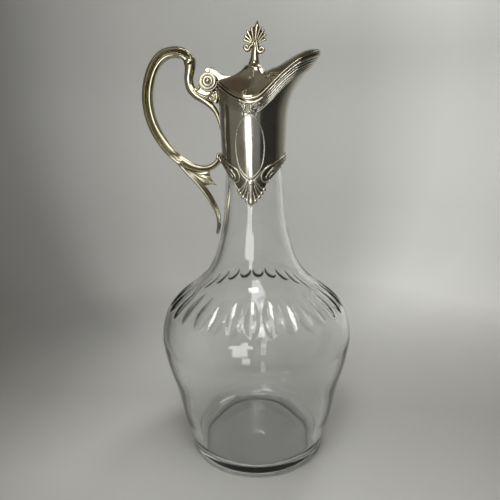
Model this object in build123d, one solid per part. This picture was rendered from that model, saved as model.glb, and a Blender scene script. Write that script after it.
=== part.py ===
from build123d import *
import math
import os

# Claret jug: a blown glass bottle with a cut shoulder, a silver-plated collar with a beak spout,
# a cast scroll handle, and a domed lid on a pin hinge.
# Millimetres. Z up, origin at the centre of the ground base, +X to the spout, -X to the handle.

# glass
base_radius = 41.5
heel_round = 8.9
body_radius = 67.4
body_z = 90.0
neck_radius = 18.9
neck_z = 205.0
mouth_z = 238.0
lip_radius = 18.3
wall = 4.0
neck_wall = 3.0
base_thickness = 7.0
olive_count = 30
olive_top_z = 127.0
olive_low_z = 110.5
olive_depth = 1.5
olive_wheel_edge = 10.0
olive_wheel_radius = 120.0

# collar
collar_radius = 20.9
collar_swell = 1.5
collar_wall = 1.0
collar_step = 0.08
collar_low_z = 200.0
collar_peak_z = 213.6
border_width = 6.4
border_height = 0.9
spout_reach = 43.0
rim_radius = 22.9
rim_low_z = 249.5
rim_band = 6.2
rim_height = 0.8

# collar ornament, carried on the front and on the back
palmette_tip_z = 184.0
palmette_half_width = 9.4
palmette_ribs = 9
palmette_thick = 1.3
oval_low_z = 202.4
oval_top_z = 240.6
oval_half_width = 9.5
oval_wire = 1.1
bow_z = 244.3
bow_half_width = 4.6
solder_gap = 0.1

# hinge
barrel_radius = 5.1
hinge_rise = 12.9
barrel_half = 7.5
knuckle_half = 3.0
knuckle_gap = 0.25
pin_radius = 1.6
pin_clearance = 0.05
pin_head_radius = 2.3
turning_clearance = 0.4

# lid
lid_gap = 0.3
lid_sheet = 1.2
bead_height = 1.8
bead_width = 1.5
dome_x = 1.2
dome_rise = 22.7
bezel_inset = 2.9
bezel_sheet = 0.8
bezel_depth = 2.0
bezel_end_share = 0.37
crest_half = 2.8

# finial
finial_height = 26.0
finial_lean = 4.0
finial_foot_radius = 5.6
finial_foot_height = 1.6
finial_stem_radius = 2.4
finial_fan_half = 7.3
finial_fan_ribs = 9
finial_thick = 2.6
stud_radius = 1.5
nut_across = 6.0
nut_height = 2.4

# handle
handle_depth = 8.0
branch_depth = 6.0
spur_depth = 3.6
leaf_thick = 3.0
bracket_half = 6.6

far = 120.0

mouth_from = -rim_radius - 3
mouth_to = spout_reach + 3
hinge_x = -(rim_radius + barrel_radius)
hinge_z = rim_low_z + hinge_rise
dome_z = rim_low_z + dome_rise


def height_through(points, x):
    """Smooth height at x through a few (x, height) points, straight beyond the ends."""
    xs = [p[0] for p in points]
    zs = [p[1] for p in points]
    runs = [(zs[i + 1] - zs[i]) / (xs[i + 1] - xs[i]) for i in range(len(xs) - 1)]
    slopes = [runs[0]] + [(runs[i] + runs[i + 1]) / 2 for i in range(len(runs) - 1)] + [runs[-1]]
    if x <= xs[0]:
        return zs[0] + slopes[0] * (x - xs[0])
    if x >= xs[-1]:
        return zs[-1] + slopes[-1] * (x - xs[-1])
    i = max(k for k in range(len(xs) - 1) if xs[k] <= x)
    width = xs[i + 1] - xs[i]
    t = (x - xs[i]) / width
    start = (1 + 2 * t) * (1 - t) ** 2 * zs[i] + t * (1 - t) ** 2 * width * slopes[i]
    end = t * t * (3 - 2 * t) * zs[i + 1] + t * t * (t - 1) * width * slopes[i + 1]
    return start + end


def mouth_share(x):
    """Place along the mouth: -1 at the hinge side of the rim, 1 at the spout's tip."""
    return x / rim_radius if x < 0 else x / spout_reach


# The rim dips at the sides of the bottle and climbs to the hinge and to the spout's tip.
rim_points = [(-1.09, 13.0), (-0.83, 8.6), (-0.524, 3.8), (-0.218, 0.9), (0.023, 0.0), (0.14, 1.4),
              (0.279, 6.8), (0.465, 14.9), (0.674, 21.8), (0.86, 25.8), (1.047, 28.6)]


def rim(x):
    """Height of the top of the rim."""
    return rim_low_z + height_through(rim_points, mouth_share(x))


def spread(low, high, count):
    """Evenly spaced values from low to high."""
    return [low + (high - low) * k / (count - 1) for k in range(count)]


def side_band(low, high, x_from, x_to):
    """Everything between two height curves, seen from the side and running right across in Y."""
    stations = spread(x_from, x_to, 24)
    under = Spline(*[(x, low(x)) for x in stations])
    over = Spline(*[(x, high(x)) for x in stations])
    left = Line((x_from, low(x_from)), (x_from, high(x_from)))
    right = Line((x_to, low(x_to)), (x_to, high(x_to)))
    outline = make_face([under, right, over, left])
    return extrude(Plane.XZ * outline, amount=far / 2, both=True)


def side_shape(points, half, smooth=True):
    """A flat outline seen from the side, with a given half thickness in Y."""
    outline = Spline(*points, periodic=True) if smooth else Polyline(*points, close=True)
    return extrude(Plane.XZ * make_face(outline), amount=half, both=True)


# ---------------------------------------------------------------- glass

heel_radius = base_radius + heel_round
waist_steps = [(0.06, 0.07), (0.26, 0.285), (0.51, 0.51), (0.755, 0.825), (0.9, 0.955)]
shoulder_steps = [(0.096, 0.961), (0.165, 0.893), (0.235, 0.742), (0.304, 0.54), (0.383, 0.334),
                  (0.470, 0.206), (0.574, 0.124), (0.696, 0.060), (0.852, 0.025)]


def glass_stations():
    """(height, radius) of the bottle above its heel."""
    waist = [(heel_round + up * (body_z - heel_round), heel_radius + out * (body_radius - heel_radius))
             for up, out in waist_steps]
    shoulder = [(body_z + up * (neck_z - body_z), neck_radius + out * (body_radius - neck_radius))
                for up, out in shoulder_steps]
    foot = [(heel_round, heel_radius)]
    top = [(neck_z, neck_radius), (mouth_z, lip_radius)]
    return foot + waist + [(body_z, body_radius)] + shoulder + top


def glass_radius(z):
    """Outside radius of the bottle at a height."""
    return height_through(glass_stations(), z)


def glass_skin(z, thickness):
    """A point on the bottle's section, moved in from the outside by a thickness."""
    slope = (glass_radius(z + 0.5) - glass_radius(z - 0.5))
    length = math.hypot(slope, 1.0)
    return (glass_radius(z) - thickness / length, z + thickness * slope / length)


def glass_wall(z):
    """Wall thickness, thinning from the body to the neck."""
    share = min(max((z - body_z) / (neck_z - body_z), 0.0), 1.0)
    return wall + (neck_wall - wall) * share


def make_glass_body():
    outside = Spline(*[(r, z) for z, r in glass_stations()])
    heel = RadiusArc((base_radius, 0), (heel_radius, heel_round), -heel_round)
    lip = Line(outside @ 1, (lip_radius - neck_wall, mouth_z))
    floor_z = base_thickness + heel_round
    levels = spread(floor_z, neck_z, 14)
    inside_points = [(lip_radius - neck_wall, mouth_z)]
    inside_points += [glass_skin(z, glass_wall(z)) for z in reversed(levels)]
    inside = Spline(*inside_points)
    corner = inside @ 1
    floor_round = Spline(corner, (corner.X * 0.78, base_thickness), tangents=[inside % 1, (-1, 0)])
    floor = Line(floor_round @ 1, (0, base_thickness))
    axis_line = Line((0, base_thickness), (0, 0))
    base = Line((0, 0), (base_radius, 0))
    section = make_face([base, heel, outside, lip, inside, floor_round, floor, axis_line])
    bottle = revolve(Plane.XZ * section, axis=Axis.Z)
    return bottle - olive_cutters()


def olive_cutters():
    """One wheel-shaped cutter for each olive round the shoulder."""
    top = Vector(glass_radius(olive_top_z), 0, olive_top_z)
    low = Vector(glass_radius(olive_low_z), 0, olive_low_z)
    along = (top - low).normalized()
    outward = Vector(along.Z, 0, -along.X)
    middle_z = (olive_top_z + olive_low_z) / 2
    middle = Vector(glass_radius(middle_z), 0, middle_z)
    half = (top - low).length * 0.72
    drop = half * half / (2 * olive_wheel_radius)
    arc = ThreePointArc((-half, olive_wheel_edge - drop), (0, olive_wheel_edge), (half, olive_wheel_edge - drop))
    sides = Polyline(arc @ 1, (half, 0), (-half, 0), arc @ 0)
    wheel = revolve(make_face([arc, sides]), axis=Axis.X)
    centre = middle + outward * (olive_wheel_edge - olive_depth)
    seat = Plane(origin=centre, x_dir=along, z_dir=outward)
    cutter = seat * wheel
    turns = [Rotation(0, 0, -86 + 360 / olive_count * k) for k in range(olive_count)]
    return [turn * cutter for turn in turns]


# ---------------------------------------------------------------- collar and rim

# How far the beak has grown at each height above the rim's low point, and how narrow it is there.
spout_line = [(-13.5, 0.0), (-5.0, 0.03), (1.5, 0.10), (6.0, 0.19), (10.0, 0.31), (14.5, 0.49), (19.5, 0.70),
              (24.0, 0.87), (28.3, 1.0), (34.5, 1.16)]
spout_sharpness = [(5.5, 4.0), (12.5, 5.0), (20.5, 6.7), (27.5, 8.6), (34.5, 10.0)]
loft_levels = [-8.5, -3.5, 1.5, 6.5, 11.5, 17.5, 23.0, 28.5, 33.5]
collar_turn_z = rim_low_z + loft_levels[0]


def collar_round(z):
    """Radius of the collar away from the spout: a plain taper."""
    return collar_radius + collar_swell * min((z - collar_low_z) / (rim_low_z - collar_low_z), 1.15)


def ring_outline(round_radius, reach, sharpness, offset):
    """A closed outline in plan: round, with a beak towards +X, moved out by an offset."""
    turns = [-180, -157, -134, -111, -89, -69, -51, -36, -23, -12, -5]
    turns += [-turn for turn in reversed(turns[1:])]

    def edge(turn):
        beak = max(math.cos(math.radians(turn)), 0.0) ** sharpness
        radius = round_radius + (reach - round_radius) * beak
        return Vector(radius * math.cos(math.radians(turn)), radius * math.sin(math.radians(turn)))

    points = []
    for turn in turns:
        run = edge(turn + 0.5) - edge(turn - 0.5)
        out = Vector(run.Y, -run.X).normalized()
        points.append(edge(turn) + out * offset)
    return make_face(Spline(*points, periodic=True))


def collar_section(level, offset):
    z = rim_low_z + level
    round_radius = collar_round(z) + collar_step
    reach = round_radius + (spout_reach - round_radius) * max(height_through(spout_line, level), 0.0)
    sharpness = max(height_through(spout_sharpness, level), spout_sharpness[0][1])
    return Plane.XY.offset(z) * ring_outline(round_radius, reach, sharpness, offset)


def collar_block(offset):
    """The collar's upper part as a solid block, its surface moved out by an offset."""
    return loft([collar_section(level, offset) for level in loft_levels])


def collar_cone(offset):
    """The collar's lower part as a solid block, its surface moved out by an offset."""
    low_z = collar_low_z - 2
    height = collar_turn_z - low_z
    cone = Cone(collar_round(low_z) + offset, collar_round(collar_turn_z) + offset, height)
    return Pos(0, 0, low_z + height / 2) * cone


border_start = 8.5


def border_top(x):
    """Upper edge of the reeded border, which dips to the palmettes."""
    return border_low(x) + border_width


def border_low(x):
    """Lower edge of the collar: scalloped, with a peak at the spout side and at the handle side."""
    share = min(max((abs(x) - border_start) / (collar_radius - border_start), 0.0), 1.0)
    return collar_low_z + (collar_peak_z - collar_low_z) * (0.4 * share + 0.6 * share ** 3)


def half_bands(low, high, x_from, x_to):
    """A band on the spout side and its mirror on the handle side."""
    right = side_band(low, high, x_from, x_to)
    return right + mirror(right, about=Plane.YZ)


collar_upper = collar_block(0.0)
collar_lower = collar_cone(0.0)
collar_outside = collar_upper + collar_lower
collar_inside = collar_block(-collar_wall) + collar_cone(-collar_wall)
hinge_place = Location((hinge_x, 0, hinge_z), (90, 0, 0))
hinge_relief = hinge_place * Cylinder(barrel_radius + turning_clearance, 2 * (barrel_half + knuckle_gap + 1.2))


def make_collar_shell():
    shell = collar_outside - collar_inside
    seen = side_band(lambda x: collar_low_z, rim, mouth_from, mouth_to)
    scallop = half_bands(lambda x: collar_low_z - 2, border_low, border_start, collar_radius + 3)
    return (shell & seen) - scallop - hinge_relief


def make_rim_moulding():
    """Band that stands out under the rim."""
    return (rim_block - collar_upper) - hinge_relief


def make_lower_border():
    """Two reeds with a web between them along the scalloped lower edge."""
    reed_height = border_width * 0.36
    low_reed = half_bands(border_low, lambda x: border_low(x) + reed_height, border_start, collar_radius + 3)
    top_reed = half_bands(lambda x: border_top(x) - reed_height, border_top, border_start, collar_radius + 3)
    web = half_bands(border_low, border_top, border_start, collar_radius + 3)
    proud = (collar_cone(border_height) & (low_reed + top_reed)) - collar_lower
    thin = (collar_cone(border_height * 0.45) & web) - collar_lower
    return proud + thin


def mirrored_back(shape):
    return mirror(shape, about=Plane.XZ)


front_half = Pos(0, -far / 2, body_z + far) * Box(far, far, 3 * far)


def tapered_rib(start, end, start_radius, end_radius):
    """A rib of round section from one point to another, with round ends."""
    run = end - start
    side = Polyline((0, 0), (start_radius, 0), (end_radius, run.length), (0, run.length), close=True)
    cone = Plane(origin=start, z_dir=run) * revolve(Plane.XZ * make_face(side), axis=Axis.Z)
    return cone + Pos(*start) * Sphere(start_radius) + Pos(*end) * Sphere(end_radius)


def on_collar(x, z, radius):
    """A point on the front of the collar."""
    return Vector(x, -math.sqrt(radius * radius - x * x), z)


def make_palmette():
    """Fluted leaf below the cartouche, with a back plate that follows the neck."""
    root_z = collar_low_z + 1.0
    drop = root_z - palmette_tip_z
    seat_radius = glass_radius(palmette_tip_z) + 0.35
    shell = Cylinder(collar_radius + border_height, far) - Cylinder(seat_radius, far)
    shell = Pos(0, 0, root_z) * shell & front_half
    leaf = [(0, palmette_tip_z), (palmette_half_width * 0.5, palmette_tip_z + drop * 0.30),
            (palmette_half_width, palmette_tip_z + drop * 0.62), (palmette_half_width * 0.86, root_z - 0.6),
            (0, root_z + 1.2), (-palmette_half_width * 0.86, root_z - 0.6),
            (-palmette_half_width, palmette_tip_z + drop * 0.62),
            (-palmette_half_width * 0.5, palmette_tip_z + drop * 0.30)]
    plate = side_shape(leaf, far / 2, smooth=False) & shell
    ribs = []
    for k in range(palmette_ribs):
        share = 2 * k / (palmette_ribs - 1) - 1
        length = drop * (1 - 0.42 * abs(share) ** 1.2) - palmette_thick
        lean = math.radians(60 * share)
        tip_x = max(min(length * math.sin(lean), palmette_half_width - 1), 1 - palmette_half_width)
        tip_z = root_z - length * math.cos(lean * 0.8)
        start = on_collar(tip_x * 0.12, root_z - 1.0, collar_radius + border_height)
        end = on_collar(tip_x, tip_z, collar_radius + border_height * 0.6)
        ribs.append(tapered_rib(start, end, 0.55, palmette_thick * 0.85))
    fan = plate
    for rib in ribs:
        fan = fan + rib
    return fan - collar_lower - Pos(0, 0, root_z) * Cylinder(seat_radius, far)


def pointed_oval(half_width, low_z, top_z):
    """A full oval that comes to a point at the bottom and at the top."""
    middle = (low_z + top_z) / 2
    right = Spline((0, low_z), (half_width, middle), (0, top_z), tangents=[(1, 0.42), (-1, 0.42)])
    left = mirror(right, about=Plane.YZ)
    return extrude(Plane.XZ * make_face([right, left]), amount=far / 2, both=True)


def make_cartouche_frame():
    """Fine wire in the form of a pointed oval, bare inside."""
    outer = pointed_oval(oval_half_width, oval_low_z, oval_top_z)
    inner = pointed_oval(oval_half_width - oval_wire, oval_low_z + 2 * oval_wire, oval_top_z - 2 * oval_wire)
    wire = (collar_cone(oval_wire * 0.6) & (outer - inner) & front_half) - collar_outside
    return wire


def make_rim_bow():
    """Two small scrolls and a drop that hold the cartouche under the rim."""
    proud = collar_round(bow_z) + rim_height
    left = on_collar(-bow_half_width * 0.5, bow_z + 1.2, proud)
    right = on_collar(bow_half_width * 0.5, bow_z + 1.2, proud)
    bow = tapered_rib(left, right, 1.0, 1.0)
    for side in (-1, 1):
        x = side * bow_half_width * 0.62
        seat = on_collar(x, bow_z, proud)
        facing = Vector(seat.X, seat.Y, 0)
        volute = Plane(origin=seat, z_dir=facing) * Torus(1.5, 0.65)
        bow = bow + volute
        bow = bow + tapered_rib(seat, on_collar(side * bow_half_width * 0.9, bow_z - 2.2, proud), 0.8, 0.5)
    bow = bow + tapered_rib(on_collar(0, bow_z, proud), on_collar(0, oval_top_z + 1.4, proud - 0.3), 1.1, 0.8)
    near = Pos(0, -collar_radius, bow_z) * Box(4 * bow_half_width, collar_radius, 4 * bow_half_width)
    under_band = side_band(lambda x: rim(x) - rim_band - solder_gap, rim, mouth_from, mouth_to)
    band_seat = collar_block(rim_height + solder_gap) & under_band & near
    return bow - (collar_upper & near) - (collar_lower & near) - band_seat


def make_neck_plaster():
    """Plaster that beds the collar on the neck."""
    low_z = collar_peak_z + 3
    high_z = mouth_z - 2
    ring = Cylinder(far / 3, high_z - low_z)
    ring = Pos(0, 0, (low_z + high_z) / 2) * ring
    return (ring & collar_inside) - bottle_outside()


def bottle_outside():
    """The neck as a plain block."""
    outside = Spline((neck_radius, neck_z), (lip_radius, mouth_z))
    section = make_face([outside, Polyline((lip_radius, mouth_z), (0, mouth_z), (0, neck_z), (neck_radius, neck_z))])
    return revolve(Plane.XZ * section, axis=Axis.Z)


# ---------------------------------------------------------------- handle

def limb(stations, depth):
    """A limb of oval section through (out, up, width) stations, measured from the collar and its foot."""
    places = [Vector(-collar_radius - out, 0, collar_low_z + up) for out, up, width in stations]
    sections = []
    for k, place in enumerate(places):
        ahead = places[min(k + 1, len(places) - 1)]
        behind = places[max(k - 1, 0)]
        run = (ahead - behind).normalized()
        across = Vector(0, 1, 0).cross(run)
        width = stations[k][2]
        thick = min(depth, width * depth / stations[0][2] * 1.15)
        frame = Plane(origin=place, x_dir=across, z_dir=run)
        sections.append(frame * Ellipse(width / 2, thick / 2))
    return loft(sections)


scroll_stations = [(20.0, 73.8, 7.4), (21.8, 77.0, 7.2), (25.2, 79.7, 7.2), (30.2, 80.8, 7.4), (36.9, 79.2, 7.6),
                   (42.5, 74.2, 7.6), (46.7, 66.3, 7.5), (49.2, 56.0, 7.5), (49.1, 45.6, 7.4), (46.2, 34.3, 7.4),
                   (39.8, 23.0, 7.2), (32.5, 14.8, 6.4), (28.6, 10.9, 5.8)]
neck_stations = [(19.9, 73.4, 6.6), (20.3, 69.0, 6.6), (21.0, 65.0, 6.0), (20.6, 61.4, 5.8), (19.0, 58.0, 5.9),
                 (16.2, 54.8, 5.4), (12.4, 51.8, 4.6), (8.8, 49.0, 4.2), (5.5, 45.9, 3.8), (3.1, 42.0, 3.2),
                 (1.7, 37.6, 2.4), (1.1, 33.0, 1.4)]
branch_stations = [(29.6, 12.4, 6.0), (26.0, 10.0, 6.0), (21.3, 7.7, 5.2), (15.3, 6.3, 4.3), (10.0, 6.6, 4.2), (5.6, 8.7, 4.0),
                   (2.6, 11.6, 3.8), (0.4, 13.8, 3.6)]
spur_stations = [(28.6, 9.4, 4.8), (23.5, 3.2, 4.4), (16.5, -4.3, 4.3), (11.1, -11.6, 4.3), (7.6, -17.9, 4.0),
                 (5.3, -23.3, 3.5), (4.2, -28.8, 3.1), (4.5, -34.0, 2.7), (6.0, -40.0, 1.3)]
leaf_points = [(21.3, 5.2), (9.7, 5.4), (9.1, 0.0), (5.1, -4.8), (9.8, -4.9), (13.8, -6.1), (16.3, -3.7)]


def make_handle_scroll():
    first = scroll_stations[0]
    knob = Pos(-collar_radius - first[0], 0, collar_low_z + first[1]) * Sphere(first[2] / 2 + 0.2)
    return limb(scroll_stations, handle_depth) + knob


def make_handle_leaf(branch, spur):
    """Small fluted leaf in the fork of branch and spur."""
    points = [(-collar_radius - out, collar_low_z + up) for out, up in leaf_points]
    leaf = side_shape(points, leaf_thick / 2, smooth=False)
    return leaf - branch - spur


# ---------------------------------------------------------------- hinge

def barrel(radius, y_from, y_to):
    """A cylinder along the hinge line."""
    length = y_to - y_from
    middle = Pos(hinge_x, (y_from + y_to) / 2, hinge_z)
    return middle * Rotation(90, 0, 0) * Cylinder(radius, length)


def from_hinge(points):
    """Side-view points measured from the hinge line."""
    return [(hinge_x + along, hinge_z + up) for along, up in points]


def make_hinge_knuckles_fixed():
    inner = knuckle_half + knuckle_gap
    near = barrel(barrel_radius, -barrel_half, -inner) - barrel(pin_radius, -barrel_half, -inner)
    return [near, mirrored_back(near)]


def make_hinge_pin():
    shaft = barrel(pin_radius, -barrel_half, barrel_half)
    head = Pos(hinge_x, -barrel_half, hinge_z) * Sphere(pin_head_radius)
    outside = Pos(hinge_x, -barrel_half - far / 2, hinge_z) * Box(far, far, far)
    head = head & outside
    return shaft + head + mirrored_back(head)


def make_hinge_end_rings():
    outer = barrel(barrel_radius - 0.5, -barrel_half - 0.8, -barrel_half)
    hole = barrel(barrel_radius - 1.6, -barrel_half - 0.8, -barrel_half)
    ring = outer - hole
    return [ring, mirrored_back(ring)]


def make_hinge_bracket(neck):
    """Saddle under the fixed knuckles, between the swan neck and the collar."""
    web = [(-10.6, -3.6), (-8.0, -2.0), (-3.5, -3.8), (0.5, -3.6), (5.6, -4.4), (6.4, -10.9), (3.8, -15.8),
           (-0.8, -13.2), (-5.4, -10.2), (-9.4, -7.0)]
    saddle = side_shape(from_hinge(web), bracket_half, smooth=False)
    scroll_end = Cylinder(2.4, 2 * bracket_half + 1.2)
    volute = Pos(hinge_x + 1.6, 0, hinge_z - 9.8) * Rotation(90, 0, 0) * scroll_end
    saddle = saddle + volute
    saddle = saddle - barrel(barrel_radius, -barrel_half, barrel_half)
    saddle = saddle - barrel(barrel_radius + turning_clearance, -knuckle_half - knuckle_gap, knuckle_half + knuckle_gap)
    return saddle - neck - collar_outside - rim_block


# ---------------------------------------------------------------- lid

def mouth_outline(inset):
    return ring_outline(rim_radius, spout_reach + 0.2, 10.0, -inset)


def plan_prism(inset, inner_inset=None):
    """Upright prism over the mouth's outline, or a ring of it."""
    prism = extrude(mouth_outline(inset), amount=2 * far + far)
    if inner_inset is not None:
        prism = prism - extrude(mouth_outline(inner_inset), amount=2 * far + far)
    return prism


def beak_half_width(x):
    """Half the width of the mouth's beak at x."""
    turn = 0.0
    for step in range(1, 60):
        turn = math.radians(1.5 * step)
        radius = rim_radius + (spout_reach - rim_radius) * math.cos(turn) ** 10
        if radius * math.cos(turn) <= x:
            return radius * math.sin(turn)
    return rim_radius


# Ridge of the spout's cover above the rim's low point.
cover_line = [(-0.35, 4.5), (0.047, 13.5), (0.244, 19.4), (0.358, 21.1), (0.493, 24.3), (0.628, 27.5),
              (0.767, 30.0), (0.895, 31.0), (0.965, 30.5), (1.023, 29.1)]


def lid_top(x, y):
    """Height of the lid's outer surface: a bell-shaped dome run into the arched cover of the spout."""
    edge = rim(x) + lid_gap + bead_height
    reach = math.hypot(x, y)
    centre = dome_x * (1 - min(reach / rim_radius, 1.0))
    ratio = math.hypot(x - centre, y) / rim_radius
    inwards = 1 - ratio
    foot = rim(max(min(rim_radius * x / max(reach, 0.01), 14.0), -rim_radius)) + lid_gap + bead_height
    lift = 0.67 * inwards + 1.24 * max(inwards, 0.0) ** 4
    if lift > 0.9:
        lift = 1.0 - 0.1 * math.exp((0.9 - lift) / 0.1)
    dome = foot + (dome_z - foot) * lift
    crown = rim_low_z + height_through(cover_line, mouth_share(x))
    half = max(beak_half_width(max(x, 0.0)), 5.0)
    arch = edge + (crown - edge) * math.cos(min(abs(y) / half, 2.0) * math.pi / 2)
    high = max(dome, arch)
    return high + math.log(math.exp(dome - high) + math.exp(arch - high))


def lid_slab(top_drop, depth):
    """Everything under the lid's outer surface, from a drop below it and so much deeper."""
    handle_side = [-1.14 * rim_radius, -rim_radius, -0.87 * rim_radius, -0.70 * rim_radius, -0.52 * rim_radius]
    middle = [-8, -5, -2, dome_x, 4, 6.5, 9]
    spout_side = [spout_reach * share for share in (0.28, 0.37, 0.49, 0.63, 0.77, 0.88, 0.98, 1.07)]
    stations = handle_side + middle + spout_side
    half_columns = [rim_radius * share for share in (0.11, 0.22, 0.35, 0.48, 0.61, 0.74, 0.87, 1.0, 1.14)]
    columns = [-y for y in reversed(half_columns)] + [0] + half_columns
    sections = []
    for x in stations:
        heights = [lid_top(x, y) - top_drop for y in columns]
        over = Spline(*[(y, z) for y, z in zip(columns, heights)])
        under = Spline(*[(y, z - depth) for y, z in zip(columns, heights)])
        near = Line(over @ 0, under @ 0)
        beyond = Line(over @ 1, under @ 1)
        frame = Plane(origin=(x, 0, 0), x_dir=(0, 1, 0), z_dir=(1, 0, 0))
        sections.append(frame * make_face([over, beyond, under, near]))
    return loft(sections)


lid_sheet_slab = lid_slab(0.0, lid_sheet)
lid_under_slab = lid_slab(0.0, 30.0)


def make_lid_shell():
    foot_hole = Pos(dome_x, 0, dome_z) * Cylinder(stud_radius + 0.1, 20)
    return (lid_sheet_slab & plan_prism(bead_width)) - hinge_relief - foot_hole


def make_lid_edge_bead():
    ring = plan_prism(0.0, bead_width)
    band = side_band(lambda x: rim(x) + lid_gap, lambda x: rim(x) + lid_gap + bead_height, mouth_from, mouth_to)
    return (ring & band) - hinge_relief


def make_lid_bezel():
    """Locating ring inside the mouth, open towards the spout."""
    ring = plan_prism(bezel_inset, bezel_inset + bezel_sheet)
    band = side_band(lambda x: rim(x) - bezel_depth, lambda x: rim(x) + far / 3,
                     mouth_from, spout_reach * bezel_end_share)
    under_sheet = Pos(0, 0, -lid_sheet) * lid_under_slab
    return (ring & band & under_sheet) - hinge_relief


def make_lid_knuckle():
    knuckle = barrel(barrel_radius - 0.2, -knuckle_half, knuckle_half)
    return knuckle - barrel(pin_radius + pin_clearance, -knuckle_half, knuckle_half)


def make_lid_crest():
    """Thumb scroll that joins the lid to its knuckle."""
    outline = [(-2.6, 6.2), (-1.6, 8.0), (0.8, 8.5), (3.8, 7.7), (8.0, 5.0), (12.0, 3.7), (17.0, 3.6), (16.0, 1.6),
               (12.0, -1.4), (8.0, -2.4), (5.4, -1.8), (2.0, 0.6), (-2.0, 2.2), (-3.4, 3.8)]
    blade = side_shape(from_hinge(outline), crest_half, smooth=False)
    under_lid = lid_under_slab & plan_prism(0.0)
    bead_space = plan_prism(0.0) & side_band(lambda x: rim(x) - 20, lambda x: rim(x) + lid_gap + bead_height,
                                             mouth_from, mouth_to)
    return blade - barrel(barrel_radius - 0.2, -far / 4, far / 4) - under_lid - bead_space


# ---------------------------------------------------------------- finial

finial_place = Location((dome_x, 0, dome_z), (0, finial_lean, 0))


def make_finial_foot():
    """Turned foot with a flared stem."""
    rise = finial_height * 0.30
    profile = Spline((finial_foot_radius * 0.92, finial_foot_height), (finial_stem_radius * 1.35, rise * 0.5),
                     (finial_stem_radius, rise))
    rim_round = ThreePointArc((finial_foot_radius * 0.92, 0), (finial_foot_radius, finial_foot_height / 2),
                              (finial_foot_radius * 0.92, finial_foot_height))
    close = Polyline((finial_stem_radius, rise), (0, rise), (0, 0), (finial_foot_radius * 0.92, 0))
    turned = revolve(Plane.XZ * make_face([rim_round, profile, close]), axis=Axis.Z)
    stud = Pos(0, 0, -7.0) * Cylinder(stud_radius, 7.0, align=(Align.CENTER, Align.CENTER, Align.MIN))
    return (finial_place * turned - lid_under_slab) + finial_place * stud


def make_finial_palmette():
    """Flat palmette with ribs fanned from the stem and two volutes."""
    rise = finial_height * 0.30
    root = rise + 2.5
    thick = finial_thick / 2
    fan = Pos(0, 0, rise) * Cone(finial_stem_radius, finial_stem_radius * 0.8, 4.0,
                                 align=(Align.CENTER, Align.CENTER, Align.MIN))
    outline = [(0, finial_height), (finial_fan_half * 0.55, finial_height * 0.82), (finial_fan_half, finial_height * 0.62),
               (finial_fan_half * 0.55, root), (-finial_fan_half * 0.55, root), (-finial_fan_half, finial_height * 0.62),
               (-finial_fan_half * 0.55, finial_height * 0.82)]
    fan = fan + side_shape(outline, thick * 0.45, smooth=False)
    for k in range(finial_fan_ribs):
        share = 2 * k / (finial_fan_ribs - 1) - 1
        length = (finial_height - root) * (1 - 0.45 * abs(share)) - 1.2
        lean = math.radians(66 * share)
        tip = Vector(length * math.sin(lean), 0, root + length * math.cos(lean))
        fan = fan + tapered_rib(Vector(0, 0, root), tip, 0.6, thick * 0.85)
    for side in (-1, 1):
        centre = Vector(side * finial_fan_half * 0.72, 0, root + 0.6)
        volute = Pos(*centre) * Rotation(90, 0, 0) * Torus(1.5, thick * 0.75)
        fan = fan + volute + tapered_rib(Vector(0, 0, root), Vector(side * finial_fan_half * 0.5, 0, root), 0.8, 0.8)
    turned_below = Pos(0, 0, -far / 2 + rise) * Box(far, far, far)
    return finial_place * (fan - turned_below)


def make_finial_nut():
    """Nut on the stud, drawn up against the inside of the dome."""
    top = -lid_sheet
    nut = extrude(RegularPolygon(nut_across / 2, 6, major_radius=False), amount=-nut_height)
    bore = Cylinder(stud_radius + 0.02, far / 4)
    return finial_place * (Pos(0, 0, top) * nut - bore) - lid_sheet_slab


# ---------------------------------------------------------------- assembly

rim_block = collar_block(rim_height) & side_band(lambda x: rim(x) - rim_band, rim, mouth_from, mouth_to)
scroll = make_handle_scroll()
neck = limb(neck_stations, 6.4) - scroll - collar_outside - rim_block
border = make_lower_border()
branch = limb(branch_stations, branch_depth) - scroll - collar_outside - border
spur = limb(spur_stations, spur_depth) - scroll - branch
palmette = make_palmette() - border
bow = make_rim_bow()
oval = make_cartouche_frame() - bow - palmette - border

pieces = {
    "glass_body": make_glass_body(),
    "neck_plaster": make_neck_plaster(),
    "collar_shell": make_collar_shell(),
    "rim_moulding": make_rim_moulding(),
    "lower_border": border,
    "palmette_front": palmette,
    "palmette_back": mirrored_back(palmette),
    "cartouche_frame_front": oval,
    "cartouche_frame_back": mirrored_back(oval),
    "rim_bow_front": bow,
    "rim_bow_back": mirrored_back(bow),
    "handle_scroll": scroll,
    "handle_swan_neck": neck,
    "handle_lower_branch": branch,
    "handle_tail_spur": spur,
    "handle_leaf": make_handle_leaf(branch, spur),
    "hinge_bracket": make_hinge_bracket(neck),
    "hinge_knuckles_fixed": make_hinge_knuckles_fixed(),
    "hinge_pin": make_hinge_pin(),
    "hinge_end_rings": make_hinge_end_rings(),
    "lid_shell": make_lid_shell(),
    "lid_edge_bead": make_lid_edge_bead(),
    "lid_bezel": make_lid_bezel(),
    "lid_knuckle": make_lid_knuckle(),
    "lid_crest": make_lid_crest(),
    "finial_foot": make_finial_foot(),
    "finial_palmette": make_finial_palmette(),
    "finial_nut": make_finial_nut(),
}

os.makedirs("parts", exist_ok=True)
for node, shape in pieces.items():
    solids = shape if isinstance(shape, list) else [shape]
    group = Compound(children=[solid for item in solids for solid in item.solids()])
    export_step(group, f"parts/{node}.step")
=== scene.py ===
import math

import bpy
import numpy as np
from mathutils import Matrix, Quaternion, Vector


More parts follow.
